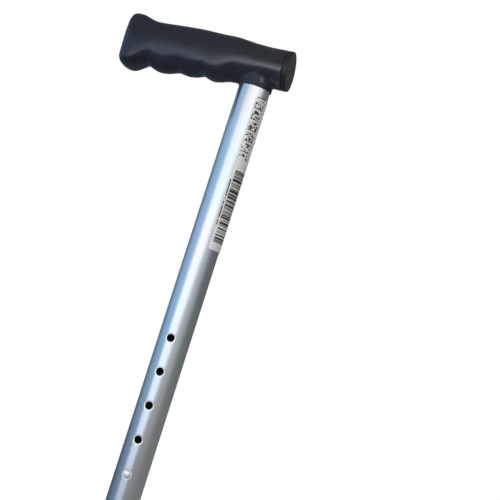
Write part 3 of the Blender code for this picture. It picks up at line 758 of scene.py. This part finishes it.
def finish_turned(name, outline, sides, axis, height, body, node, mat, tilt=0.0):
    """A turned piece that replaces one CAD node."""
    bm = turned(outline, sides, axis)
    set_axis(bm, height, tilt, SEAM_REACH)
    piece = add_piece(name, bm, body, [node])
    piece.data.materials.append(mat)
    return piece


CAP_SPIGOT_WALL = 0.0018
CAP_EDGE_ROUND = 0.0004
CAP_DOME = 0.0004
CAP_REACH = 0.0229
CAP_SHARP_EDGE = 0.0003
CAP_FACE_STEP = 0.0002
CAP_FACE_FROM = SEAM_REACH + 3 * CLEARANCE
CAP_FACE_NORMAL = 0.9
cap_face = CAP_REACH - CAP_DOME
cap_seam = SEAM_REACH + CLEARANCE
spigot = CHAMBER_RADIUS - CLEARANCE
cap_outline = rounded([
    (0.0, cap_seam), (spigot - CAP_SPIGOT_WALL, cap_seam), (spigot - CAP_SPIGOT_WALL, cap_low.x),
    (spigot, cap_low.x, CAP_SHARP_EDGE), (spigot, cap_seam), (CAP_RADIUS, cap_seam, CAP_SHARP_EDGE),
    *quarter((CAP_RADIUS - CAP_EDGE_ROUND, cap_face - CAP_EDGE_ROUND + CAP_FACE_STEP),
             (CAP_EDGE_ROUND, CAP_EDGE_ROUND), 0, 75, 7),
    *quarter((0.0, cap_face), (CAP_RADIUS - CAP_EDGE_ROUND, CAP_DOME), 12, 90, 12)])
end_cap = finish_turned("end_cap", cap_outline, 128, "X", CAP_AXIS_Z, "upper", "handle_end_cap",
                        cap_plastic, CAP_TILT)
end_cap.data.materials.append(cap_face_painted_light)
# Faces that look out along the bar get the lighter material: painted light on the cap's face.
for polygon in end_cap.data.polygons:
    outward = polygon.normal.x > CAP_FACE_NORMAL and polygon.center.x > CAP_FACE_FROM
    polygon.material_index = int(outward)

# %% [markdown]
# ## The tubes
# A drawn tube is simple, and its row of holes is what the eye goes to. Cutting holes with a Boolean leaves
# long thin triangles that spoil a mirror-like wall. Here one pitch of the tube is built as a cell: an even
# ring of wall, with a patch that runs from a square to the hole and rounds its edge. Geometry Nodes repeat
# the cell down the tube, join the plain ends to it, and weld the seams. The leg uses the same tree with a
# single cell.

# %% One pitch of tube wall
WALL_STEPS = 96
STRIP_STEPS = 8
SQUARE_HALF = 0.0060
HOLE_EDGE = 0.00075
HOLE_EDGE_DEPTH = 0.00030
HOLE_EDGE_ROWS = ((0.0, 1.0), (0.12, 0.70), (0.42, 0.30), (1.0, 0.0))
BORE_EDGE = 0.00014
TUBE_END_EDGE = 0.0003
PATCH_SHARES = (1.0, 0.75, 0.5, 0.25, 0.07, 0.0)


def on_wall(radius, angle, z):
    """A point on a round wall. Angle 0 faces -Y."""
    return radius * math.sin(angle), -radius * math.cos(angle), z


def wall_ring(radius, z, first=0, last=WALL_STEPS):
    """Points round a wall, from one step to another."""
    return [on_wall(radius, math.tau * k / WALL_STEPS, z) for k in range(first, last + 1)]


def bridge(bm, rows):
    """Faces between each row of points and the next."""
    for first, second in zip(rows, rows[1:]):
        low = [bm.verts.new(point) for point in first]
        high = [bm.verts.new(point) for point in second]
        for k in range(len(low) - 1):
            bm.faces.new((low[k], low[k + 1], high[k + 1], high[k]))


def closed_strip(rows):
    """A closed bmesh of rows of points. Each row is a small loop that ends where it began."""
    bm = bmesh.new()
    bridge(bm, rows)
    weld(bm, 1e-7)
    bmesh.ops.holes_fill(bm, edges=bm.edges, sides=4)
    return bm


def square_loop():
    """Steps round the square patch, as (step round the wall, share of the half height), closed."""
    side = range(-STRIP_STEPS, STRIP_STEPS)
    return ([(k, -STRIP_STEPS) for k in side] + [(STRIP_STEPS, k) for k in side]
            + [(-k, STRIP_STEPS) for k in side] + [(-STRIP_STEPS, -k) for k in side]
            + [(-STRIP_STEPS, -STRIP_STEPS)])


def patch_row(radius, hole, share):
    """One loop of the patch on a wall: share 1 is the square, and 0 the circle."""
    row = []
    loop = square_loop()
    for k, (step, level) in enumerate(loop):
        turn = math.tau * (k / (len(loop) - 1)) - math.radians(135)
        x, z = hole * math.cos(turn), hole * math.sin(turn)
        angle = (1 - share) * math.asin(x / radius) + share * math.tau * step / WALL_STEPS
        row.append(on_wall(radius, angle, (1 - share) * z + share * SQUARE_HALF * level / STRIP_STEPS))
    return row


def hole_cell(outer, bore, hole, pitch):
    """A piece of tube wall, one pitch high, with a hole that faces -Y."""
    bm = bmesh.new()
    square = [SQUARE_HALF * k / STRIP_STEPS for k in range(-STRIP_STEPS, STRIP_STEPS + 1)]
    levels = [-pitch / 2, *square, pitch / 2]
    for radius in (outer, bore):
        bridge(bm, [wall_ring(radius, z, STRIP_STEPS, WALL_STEPS - STRIP_STEPS) for z in levels])
        for ends in (levels[:2], levels[-2:]):
            bridge(bm, [wall_ring(radius, z, -STRIP_STEPS, STRIP_STEPS) for z in ends])
    bridge(bm, [patch_row(outer, hole + HOLE_EDGE, share) for share in PATCH_SHARES])
    rim = [patch_row(outer - HOLE_EDGE_DEPTH * depth, hole + HOLE_EDGE * reach, 0.0)
           for depth, reach in HOLE_EDGE_ROWS]
    bridge(bm, rim + [patch_row(bore + BORE_EDGE, hole, 0.0)])
    bridge(bm, [patch_row(bore + BORE_EDGE, hole, 0.0)]
           + [patch_row(bore, hole + BORE_EDGE, share) for share in reversed(PATCH_SHARES)])
    weld(bm)
    return bm


def tube_ends(outer, bore, cells_low, cells_high, foot, top):
    """The plain stretches below and above the cells, each with its chamfered end."""
    bm = bmesh.new()
    edge = TUBE_END_EDGE
    for start, end in ((cells_low, foot), (cells_high, top)):
        inward = math.copysign(edge, start - end)
        steps = ((outer, start), (outer, end + inward), (outer - edge, end), (bore + edge / 2, end),
                 (bore, end + inward / 2), (bore, start))
        bridge(bm, [wall_ring(radius, z) for radius, z in steps])
    weld(bm)
    return bm


# %% [markdown]
# ### The tree that repeats the cell
# Its inputs are the cell, the plain ends, the number of holes, the pitch and the finish. A line of points
# takes one copy of the cell each, the copies are made real, the ends join them, and a weld closes the
# seams.

# %% Build the tube's tree
WELD = 0.00002
SKIN_DEPTH = 0.00002


def perforated_tube_tree():
    """Geometry Nodes: repeat a cell down a line, join the ends, weld, and give the finish."""
    tree = bpy.data.node_groups.new("perforated_tube", "GeometryNodeTree")
    sockets = {"Cell": "NodeSocketGeometry", "Ends": "NodeSocketObject", "Holes": "NodeSocketInt",
               "Pitch": "NodeSocketFloat", "First hole": "NodeSocketFloat", "Finish": "NodeSocketMaterial"}
    for name, kind in sockets.items():
        tree.interface.new_socket(name, in_out="INPUT", socket_type=kind)
    tree.interface.new_socket("Tube", in_out="OUTPUT", socket_type="NodeSocketGeometry")
    given = tree.nodes.new("NodeGroupInput").outputs
    result = tree.nodes.new("NodeGroupOutput")
    start = add_node(tree, "ShaderNodeCombineXYZ", {"Z": given["First hole"]})
    down = add_node(tree, "ShaderNodeMath", {0: given["Pitch"], 1: -1.0}, operation="MULTIPLY")
    offset = add_node(tree, "ShaderNodeCombineXYZ", {"Z": down.outputs[0]})
    line = add_node(tree, "GeometryNodeMeshLine", {
        "Count": given["Holes"], "Start Location": start.outputs[0], "Offset": offset.outputs[0]})
    copies = add_node(tree, "GeometryNodeInstanceOnPoints", {
        "Points": line.outputs[0], "Instance": given["Cell"]})
    ends = add_node(tree, "GeometryNodeObjectInfo", {"Object": given["Ends"]})
    both = add_node(tree, "GeometryNodeJoinGeometry", {0: copies.outputs[0]})
    tree.links.new(ends.outputs["Geometry"], both.inputs[0])
    real = add_node(tree, "GeometryNodeRealizeInstances", {0: both.outputs[0]})
    welded = add_node(tree, "GeometryNodeMergeByDistance", {"Geometry": real.outputs[0], "Distance": WELD})
    finished = add_node(tree, "GeometryNodeSetMaterial", {
        "Geometry": welded.outputs[0], "Material": given["Finish"]})
    tree.links.new(finished.outputs[0], result.inputs[0])
    return tree


def set_inputs(modifier, **values):
    """Set a Geometry Nodes modifier's inputs by the identifiers of their sockets."""
    for item in modifier.node_group.interface.items_tree:
        key = item.name.lower().replace(" ", "_")
        if item.in_out == "INPUT" and key in values:
            modifier[item.identifier] = values[key]


perforated_tube = perforated_tube_tree()


def make_tube(name, outer, bore, holes, first_hole, foot, top, mat):
    """A tube with its row of holes, made with the tree and turned into a plain mesh."""
    last_hole = first_hole - HOLE_PITCH * (holes - 1)
    tube = loose_object(name, hole_cell(outer, bore, HOLE_RADIUS, HOLE_PITCH))
    ends = loose_object("tube_ends", tube_ends(outer, bore, last_hole - HOLE_PITCH / 2,
                                               first_hole + HOLE_PITCH / 2, foot, top))
    modifier = tube.modifiers.new("holes", "NODES")
    modifier.node_group = perforated_tube
    set_inputs(modifier, ends=ends, holes=holes, pitch=HOLE_PITCH, first_hole=first_hole, finish=mat)
    bake_modifiers(tube, ends)
    tube.data.materials.clear()
    # The outer wall gets the finish, the holes' edges the painted highlight, and the bore the painted shade.
    for finish in (mat, bare_aluminium, bore_aluminium):
        tube.data.materials.append(finish)
    bm = bmesh.new()
    bm.from_mesh(tube.data)
    bmesh.ops.recalc_face_normals(bm, faces=bm.faces)
    for face in bm.faces:
        across = face.calc_center_median().xy.length
        face.material_index = 0 if across > outer - SKIN_DEPTH else 2 if across < bore + SKIN_DEPTH else 1
    bm.to_mesh(tube.data)
    bm.free()
    return tube


# %% Make the upper tube and the leg


def finish_tube(tube, body, node):
    """Shade a tube, and tell the frame what it is."""
    shade(tube.data)
    settle(tube, body, [node])


upper_tube = make_tube("upper_tube", TUBE_RADIUS, TUBE_BORE, HOLE_COUNT, FIRST_HOLE_Z, tube_low.z,
                       tube_high.z, tube_aluminium)
screw_outline = ring_outline(0.0, SCREW_HOLE_RADIUS, TUBE_BORE / 2, TUBE_RADIUS + TRIM)
screw_path = turned(screw_outline, 32, "X")
set_axis(screw_path, CAP_AXIS_Z)
combine(upper_tube, loose_object("screw_path", screw_path))
finish_tube(upper_tube, "upper", "outer_tube")
leg_tube = make_tube("leg_tube", LEG_RADIUS, LEG_BORE, 1, BUTTON_Z, leg_low.z, leg_high.z, leg_aluminium)
finish_tube(leg_tube, "leg", "inner_tube")

# %% [markdown]
# ## Snap button, spring and bushes
# The button is a turned pin with a domed tip, and its flange stops it inside the leg. A folded strip of
# spring steel pushes it out. When the button goes in, the strip's front arm bends and its back arm stays;
# here the strip is one still mesh that rides on no body.

# %% Turn the button
BUTTON_RADIUS = 0.0029
BUTTON_FLANGE = 0.0010
BUTTON_DOME = 0.0009
BUTTON_EDGE = 0.0002
button_tip = -button_low.y
button_back = -button_high.y
flange_face = button_back + BUTTON_FLANGE
button_outline = rounded([
    (0.0, button_back), (button_high.x, button_back, BUTTON_EDGE), (button_high.x, flange_face, BUTTON_EDGE),
    (BUTTON_RADIUS, flange_face, BUTTON_EDGE / 2),
    *quarter((0.0, button_tip - BUTTON_DOME), (BUTTON_RADIUS, BUTTON_DOME), 0, 90, 14)])
finish_turned("button", button_outline, 64, "-Y", BUTTON_Z, "button", "snap_button", button_nickel)

# %% Bend the spring
SPRING_THICKNESS = 0.0006
SPRING_WIDTH = 0.0060
SPRING_BEND_RADIUS = 0.0028
SPRING_STEP = 0.0006
spring_low, spring_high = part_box("button_spring")
front = spring_low.y + SPRING_THICKNESS / 2
back = spring_high.y - SPRING_THICKNESS / 2
bend_z = spring_low.z + SPRING_BEND_RADIUS + SPRING_THICKNESS / 2
arm = spring_high.z - BUTTON_Z
strip = [(front, spring_high.z), (front, BUTTON_Z - arm)]
strip += quarter((0.0, bend_z), (SPRING_BEND_RADIUS, SPRING_BEND_RADIUS), 180, 360, 24)
strip += [(back, BUTTON_Z - arm), (back, spring_high.z)]


def fine_points(points, step):
    """Points along straight runs, about a step apart."""
    made = []
    for start, end in zip(points, points[1:]):
        start, end = Vector(start), Vector(end)
        count = max(1, round((end - start).length / step))
        made += [start.lerp(end, k / count) for k in range(count)]
    return made + [Vector(points[-1])]


def strip_mesh(points, thickness, width):
    """Thicken a line in the YZ plane to both sides, and give it a width along X."""
    rows = []
    for k, point in enumerate(points):
        before = points[max(k - 1, 0)]
        after = points[min(k + 1, len(points) - 1)]
        way = (after - before).normalized()
        side = Vector((-way.y, way.x)) * thickness / 2
        row = [(x, spot.x, spot.y) for x, spot in (
            (-width / 2, point - side), (width / 2, point - side),
            (width / 2, point + side), (-width / 2, point + side))]
        rows.append(row + row[:1])
    return closed_strip(rows)


strip = fine_points(strip, SPRING_STEP)
spring = add_piece("spring", strip_mesh(strip, SPRING_THICKNESS, SPRING_WIDTH), None)
spring.data.materials.append(spring_steel)
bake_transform(spring)
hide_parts("button_spring")

# %% Turn the bush
BUSH_EDGE = 0.0002
BUSH_BORE_EDGE = 0.0003
BUSH_FOOT_ROUND = 0.0012
BUSH_TOP_ROUND = 0.0010
bush_top = tube_low.z - CLEARANCE
bush_bore = LEG_RADIUS + CLEARANCE
bush_sleeve = TUBE_BORE - CLEARANCE
bush_outline = rounded([
    (bush_bore, bush_high.z, BUSH_EDGE), (bush_bore, bush_low.z, BUSH_BORE_EDGE),
    (bush_high.x, bush_low.z, BUSH_FOOT_ROUND), (bush_high.x, bush_top, BUSH_TOP_ROUND),
    (bush_sleeve, bush_top), (bush_sleeve, bush_high.z, BUSH_EDGE)])
finish_turned("bush", bush_outline, 128, "Z", 0.0, "upper", "end_bush", bush_plastic)

# %% [markdown]
# ## Rubber foot
# The foot is turned in one outline: ringed tread, flared base, slim neck, bead, and the blind bore that the
# leg sits in on a steel disc. Real ones are moulded, so every corner is slightly round.

# %% Turn the foot
ferrule_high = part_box("ferrule")[1]
washer_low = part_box("ferrule_washer")[0]
FOOT_NECK = 0.0131
FOOT_BEAD = 0.0138
FOOT_RIM = 0.0050
FOOT_FLARE = 0.0170
FOOT_BEAD_HEIGHT = 0.0050
TREAD_DEPTH = 0.0015
TREAD_EDGE = 0.0002
TREAD_CORNER = 0.0003
FOOT_BASE_ROUND = 0.0012
FOOT_BEAD_ROUND = 0.0008
FOOT_TOP_ROUND = 0.0014
FOOT_EDGE = 0.0004
TREAD_GROOVES = ((0.0070, 0.0088), (0.0112, 0.0130), (0.0154, 0.0168))
foot_base = ferrule_high.x
foot_top = ferrule_high.z
foot_floor = washer_low.z - CLEARANCE
foot_bore = LEG_RADIUS + CLEARANCE
tread = [(0.0, 0.0)]
for inside, outside in TREAD_GROOVES:
    tread += [(inside, 0.0, TREAD_EDGE), (inside, TREAD_DEPTH, TREAD_CORNER),
              (outside, TREAD_DEPTH, TREAD_CORNER), (outside, 0.0, TREAD_EDGE)]
flare = []
for share in np.linspace(0.0, 1.0, 21):
    ease = (1 - math.cos(math.pi * share)) / 2
    flare.append((foot_base + (FOOT_NECK - foot_base) * ease, FOOT_RIM + FOOT_FLARE * share))
bead_foot = foot_top - FOOT_BEAD_HEIGHT
foot_outline = rounded(tread + [(foot_base, 0.0, FOOT_BASE_ROUND)] + flare + [
    (FOOT_NECK, bead_foot, FOOT_EDGE), (FOOT_BEAD, bead_foot + FOOT_BEAD_ROUND, FOOT_BEAD_ROUND),
    (FOOT_BEAD, foot_top, FOOT_TOP_ROUND), (foot_bore, foot_top, FOOT_EDGE),
    (foot_bore, foot_floor, TREAD_CORNER), (0.0, foot_floor)])
finish_turned("rubber_foot", foot_outline, 144, "Z", 0.0, "leg", "ferrule", ferrule_rubber)

# %% Dress the pieces that stay
for node, mat in (("handle_screw", screw_zinc), ("inner_tube_plug", plug_plastic),
                  ("ferrule_washer", washer_steel)):
    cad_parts[node].data.materials[0] = mat
    print(node, "keeps its shape and gets", mat.name)

# %% [markdown]
# ## Label
# A printed film is stuck round the tube from beside the holes to the back. Its corners are cut round so
# that they don't lift. The print says nothing: a row of ruled blots above, a bar field below, and a column
# of dashes beside it, drawn by the material from the film's own map of its width and height in metres. The
# film is slightly silvered.

# %% Cut the label
LABEL_CORNER = 0.0015
LABEL_COLUMNS = 44
LABEL_STEPS = 6
LABEL_RADIUS = 0.0124
LABEL_SKIN = 0.0002
LABEL_START = math.radians(28.5)
LABEL_WIDTH = 0.0350


def label_mesh():
    """Columns of film round the tube, shorter within the round corners, with a width and height map."""
    arc = [LABEL_CORNER * (1 - math.cos(math.pi / 2 * k / LABEL_STEPS)) for k in range(LABEL_STEPS + 1)]
    spots = arc + list(np.linspace(LABEL_CORNER, LABEL_WIDTH - LABEL_CORNER, LABEL_COLUMNS)[1:-1])
    spots += [LABEL_WIDTH - spot for spot in reversed(arc)]
    rows = []
    for spot in spots:
        side = min(spot, LABEL_WIDTH - spot, LABEL_CORNER)
        inset = LABEL_CORNER - math.sqrt(max(0.0, LABEL_CORNER**2 - (LABEL_CORNER - side)**2))
        angle = LABEL_START + spot / TUBE_RADIUS
        foot, top = label_low.z + inset, label_high.z - inset
        row = [on_wall(radius, angle, z) for radius, z in (
            (LABEL_RADIUS - LABEL_SKIN, foot), (LABEL_RADIUS, foot),
            (LABEL_RADIUS, top), (LABEL_RADIUS - LABEL_SKIN, top))]
        rows.append(row + row[:1])
    bm = closed_strip(rows)
    map_layer = bm.loops.layers.uv.new("film")
    for face in bm.faces:
        for loop in face.loops:
            x, y, z = loop.vert.co
            turn = (math.atan2(x, -y) - LABEL_START) % math.tau
            loop[map_layer].uv = (turn * TUBE_RADIUS, label_high.z - z)
    return bm


label = add_piece("label", label_mesh(), "upper", ["tube_label"])

# %% Print the label
BLOCKS_ACROSS = (0.0008, 0.0094)
BLOCKS_DOWN = (0.0, 0.0480)
BLOCK_PITCH = 0.0084
RULE_THICKNESS = 0.0007
BLOT_SIZE = 0.0010
BLOT_SHARE = 0.42
BARS_ACROSS = (0.0020, 0.0330)
BARS_DOWN = (0.0568, 0.1125)
BAR_UNIT = 0.00036
BAR_SHARE = 0.62
DASHES_ACROSS = (0.0002, 0.0011)
DASHES_DOWN = (0.0650, 0.1000)
DASH_PITCH = 0.0012
DASH_SHARE = 0.8


def within(value, low, high):
    """1 where a value lies between two limits."""
    above = calc("GREATER_THAN", value, low)
    return times(above, calc("LESS_THAN", value, high))


def tiles(across, down, width, height, share):
    """Tiles of a width and height, of which a share is inked."""
    column = calc("FLOOR", calc("DIVIDE", across, width))
    row = calc("FLOOR", calc("DIVIDE", down, height))
    cell = add_node(row.id_data, "ShaderNodeCombineXYZ", {0: column, 1: row}).outputs[0]
    chance = add_node(row.id_data, "ShaderNodeTexWhiteNoise", {"Vector": cell}, noise_dimensions="2D")
    return calc("LESS_THAN", chance.outputs["Value"], share)


def label_film():
    """Grey-white film with ruled blots, a bar field and a column of dashes."""
    mat, tree, shader = surface("label_film", (0.79, 0.79, 0.79), 0.28, 0.18)
    spot = add_node(tree, "ShaderNodeUVMap", uv_map="film").outputs[0]
    across, down = split(spot)[0:2]
    blots = tiles(across, down, BLOT_SIZE, BLOT_SIZE, BLOT_SHARE)
    below_rule = calc("MODULO", down, BLOCK_PITCH)
    rule = calc("LESS_THAN", below_rule, RULE_THICKNESS)
    ruled = calc("MAXIMUM", rule, times(calc("GREATER_THAN", below_rule, 3 * RULE_THICKNESS), blots))
    bars = tiles(across, down, 1.0, BAR_UNIT, BAR_SHARE)
    dashes = tiles(across, down, 1.0, DASH_PITCH, DASH_SHARE)
    fields = ((BLOCKS_DOWN, BLOCKS_ACROSS, ruled), (BARS_DOWN, BARS_ACROSS, bars),
              (DASHES_DOWN, DASHES_ACROSS, dashes))
    blocks, bars, dashes = (times(times(within(down, *rows), within(across, *columns)), marks)
                            for rows, columns, marks in fields)
    ink = calc("MAXIMUM", calc("MAXIMUM", blocks, bars), dashes)
    worn = ramp(noise(place(tree), 800.0, 4.0, 0.7), 0.25, 0.45, 0.55, 1.0)
    ink = times(ink, worn)
    cloud = ramp(noise(place(tree), 120.0, 3.0), 0.3, 0.7)
    film = blend_color(cloud, (0.78, 0.78, 0.78), (0.83, 0.83, 0.82))
    feed(shader, "Base Color", blend_color(ink, film, (0.025, 0.025, 0.028)))
    feed(shader, "Roughness", ramp(cloud, 0.0, 1.0, 0.32, 0.42))
    emboss(shader, noise(place(tree), 1500.0, 2.0), 0.000012)
    return mat


label.data.materials.append(label_film())

# %% [markdown]
# ## Studio
# Metal shows what stands round it, so the studio matters as much as the tube's own finish. A large round
# wall, which only reflections can see, carries a tilted soft box in front, a bluish screen on the left, and
# grey that falls to dark on the right and behind. The box is bluer at its foot and dips a little in
# brightness at its upper left. One plain lamp and a white world light the matt surfaces. The floor is pale,
# catches the shadow, and fades into the white background.

# %% Build the reflecting wall
WALL_RADIUS = 1.4
BOX_LIGHT = (1.22, 1.25, 1.27)
BOX_FOOT_LIGHT = (0.94, 1.10, 1.41)
CEILING_TONE = (0.150, 0.145, 0.130)
GROUND_TONE = (0.100, 0.120, 0.165)
UPPER_TONES = (
    (-180, (0.11, 0.12, 0.13)), (-130, (0.13, 0.17, 0.23)), (-114, (0.18, 0.25, 0.36)),
    (-92, (0.29, 0.44, 0.65)), (-74, (0.31, 0.52, 0.78)), (-59, (0.32, 0.54, 0.81)),
    (-46, (0.40, 0.60, 0.86)), (-30, (0.48, 0.58, 0.76)), (-10, (0.50, 0.54, 0.66)),
    (14, (0.56, 0.58, 0.62)), (26, (0.53, 0.56, 0.59)), (37, (0.46, 0.49, 0.51)), (49, (0.43, 0.46, 0.48)),
    (62, (0.32, 0.35, 0.36)), (74, (0.22, 0.24, 0.24)), (88, (0.14, 0.15, 0.15)), (180, (0.11, 0.12, 0.12)))
LOWER_TONES = (
    (-180, (0.10, 0.11, 0.12)), (-114, (0.07, 0.09, 0.13)), (-92, (0.105, 0.148, 0.220)),
    (-74, (0.118, 0.170, 0.260)), (-45, (0.168, 0.215, 0.300)), (0, (0.205, 0.210, 0.225)),
    (60, (0.215, 0.215, 0.213)), (143, (0.200, 0.200, 0.195)), (180, (0.12, 0.12, 0.12)))
# Edges of the soft box, in degrees. The left one leans, the right one curves and steps, the top one slopes.
BOX_LEFT_LEAN = (-4.0, 11.0, -41.0, -30.0)
BOX_RIGHT_BEND = 0.038
BOX_RIGHT_SLOPE = 1.75
BOX_RIGHT_STEP = (10.0, 14.0, 23.0, 41.0)
BOX_SIDE_FADE = 8.0
BOX_TOP_SLOPE = 0.15
BOX_TOP_FADE = (-23.0, -11.0)
BOX_FOOT_FADE = (-26.0, -10.0)
BOX_TINT_FADE = (-3.0, -16.0)
BOX_DIP = 0.90
BOX_DIP_HEIGHTS = (5.0, 10.0)
BOX_DIP_SIDES = (45.0, 5.0)
# Where the wall's two rows of tones meet, and where its ground and its ceiling begin.
TONES_MEET = (-20.0, -3.0)
GROUND_FADE = (-20.0, -38.0)
CEILING_FADE = (12.0, 26.0)


def studio_light():
    """Emission by direction from the stick: azimuth from -Y towards +X, and elevation."""
    mat = bpy.data.materials.new("studio_light")
    mat.use_nodes = True
    tree = mat.node_tree
    tree.nodes.remove(tree.nodes["Principled BSDF"])
    x, y, z = split(place(tree))
    azimuth = calc("DEGREES", calc("ARCTAN2", x, times(y, -1.0)))
    elevation = calc("DEGREES", calc("ARCTAN2", z, across_axis(x, y)))
    tones = blend_color(ramp(elevation, *TONES_MEET), tone_line(azimuth, LOWER_TONES),
                        tone_line(azimuth, UPPER_TONES))
    past_left = calc("SUBTRACT", azimuth, ramp(elevation, *BOX_LEFT_LEAN, smooth=False))
    bend = times(calc("ADD", times(elevation, BOX_RIGHT_BEND), BOX_RIGHT_SLOPE), elevation)
    bend = calc("ADD", bend, ramp(elevation, *BOX_RIGHT_STEP, smooth=False))
    past_right = calc("SUBTRACT", azimuth, bend)
    sides = times(ramp(past_left, -BOX_SIDE_FADE, BOX_SIDE_FADE),
                  ramp(past_right, BOX_SIDE_FADE, -BOX_SIDE_FADE))
    below_top = calc("SUBTRACT", times(azimuth, BOX_TOP_SLOPE), elevation)
    heights = times(ramp(elevation, *BOX_FOOT_FADE), ramp(below_top, *BOX_TOP_FADE))
    lowered = blend_color(ramp(elevation, *GROUND_FADE), tones, GROUND_TONE)
    dimmed = blend_color(ramp(elevation, *CEILING_FADE), lowered, CEILING_TONE)
    box = blend_color(ramp(elevation, *BOX_TINT_FADE), BOX_LIGHT, BOX_FOOT_LIGHT)
    dip = times(ramp(elevation, *BOX_DIP_HEIGHTS), ramp(azimuth, *BOX_DIP_SIDES))
    box = blend_color(dip, box, tuple(c * BOX_DIP for c in BOX_LIGHT))
    light = blend_color(times(sides, heights), dimmed, box)
    emission = add_node(tree, "ShaderNodeEmission", {"Color": light})
    tree.links.new(emission.outputs[0], tree.nodes["Material Output"].inputs["Surface"])
    return mat


wall_bm = bmesh.new()
bmesh.ops.create_uvsphere(wall_bm, u_segments=64, v_segments=32, radius=WALL_RADIUS)
wall = loose_object("studio_wall", wall_bm)
wall.location = (0, 0, RIM_Z)
wall.data.materials.append(studio_light())
wall.visible_camera = False
wall.visible_diffuse = False
wall.visible_shadow = False
wall.visible_transmission = False
wall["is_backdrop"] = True

# %% Lay the floor
FLOOR_RADIUS = 2.6
FLOOR_FADE = (0.7, 2.3)


def pale_floor():
    """Pale floor that fades to the white of the background."""
    mat, tree, shader = surface("pale_floor", (0.82, 0.82, 0.81), 0.75, Specular_IOR_Level=0.2)
    x, y = split(place(tree))[0:2]
    away = across_axis(x, y)
    glow = add_node(tree, "ShaderNodeEmission", {"Color": (1, 1, 1, 1)})
    mix = add_node(tree, "ShaderNodeMixShader", {
        0: ramp(away, *FLOOR_FADE), 1: shader.outputs[0], 2: glow.outputs[0]})
    tree.links.new(mix.outputs[0], tree.nodes["Material Output"].inputs["Surface"])
    grain = noise(place(tree), 60.0, 3.0)
    feed(shader, "Base Color", blend_color(grain, (0.81, 0.81, 0.80), (0.83, 0.83, 0.82)))
    return mat


floor_bm = bmesh.new()
bmesh.ops.create_circle(floor_bm, cap_ends=True, segments=96, radius=FLOOR_RADIUS)
floor = loose_object("floor", floor_bm)
floor.data.materials.append(pale_floor())
floor.visible_glossy = False
floor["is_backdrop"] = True

# %% Light the matt surfaces
LAMP_DISTANCE = 2.2
LAMP_AZIMUTH = math.radians(-22)
LAMP_ELEVATION = math.radians(38)
LAMP_POWER = 30.0
LAMP_SIZE = 1.1
WORLD_DIFFUSE = 0.42
lamp_data = bpy.data.lights.new("lamp", "AREA")
lamp_data.shape = "DISK"
lamp_data.size = LAMP_SIZE
lamp_data.energy = LAMP_POWER
lamp = new_object("lamp", lamp_data)
towards = Vector((math.sin(LAMP_AZIMUTH) * math.cos(LAMP_ELEVATION),
                  -math.cos(LAMP_AZIMUTH) * math.cos(LAMP_ELEVATION), math.sin(LAMP_ELEVATION)))
lamp.location = Vector((0, 0, RIM_Z * 0.6)) + towards * LAMP_DISTANCE
lamp.rotation_euler = (-towards).to_track_quat("-Z", "Y").to_euler()
lamp.visible_glossy = False
world = bpy.data.worlds.new("studio")
bpy.context.scene.world = world
world.use_nodes = True
tree = world.node_tree
background = tree.nodes["Background"]
background.inputs["Color"].default_value = (1, 1, 1, 1)
rays = add_node(tree, "ShaderNodeLightPath")
seen = calc("MAXIMUM", rays.outputs["Is Camera Ray"],
            calc("MAXIMUM", rays.outputs["Is Glossy Ray"], rays.outputs["Is Transmission Ray"]))
tree.links.new(ramp(seen, 0, 1, WORLD_DIFFUSE, 1.0, smooth=False), background.inputs["Strength"])
bpy.context.scene.view_settings.view_transform = "Standard"

# %% [markdown]
# ## Boxes
# The last cell prints the dressed model's box beside the CAD's.

# %% Finish
dressed_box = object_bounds()
for label_text, box in (("cad", cad_box), ("dressed", dressed_box)):
    print(label_text, [[round(v * 1000, 2) for v in corner] for corner in box])
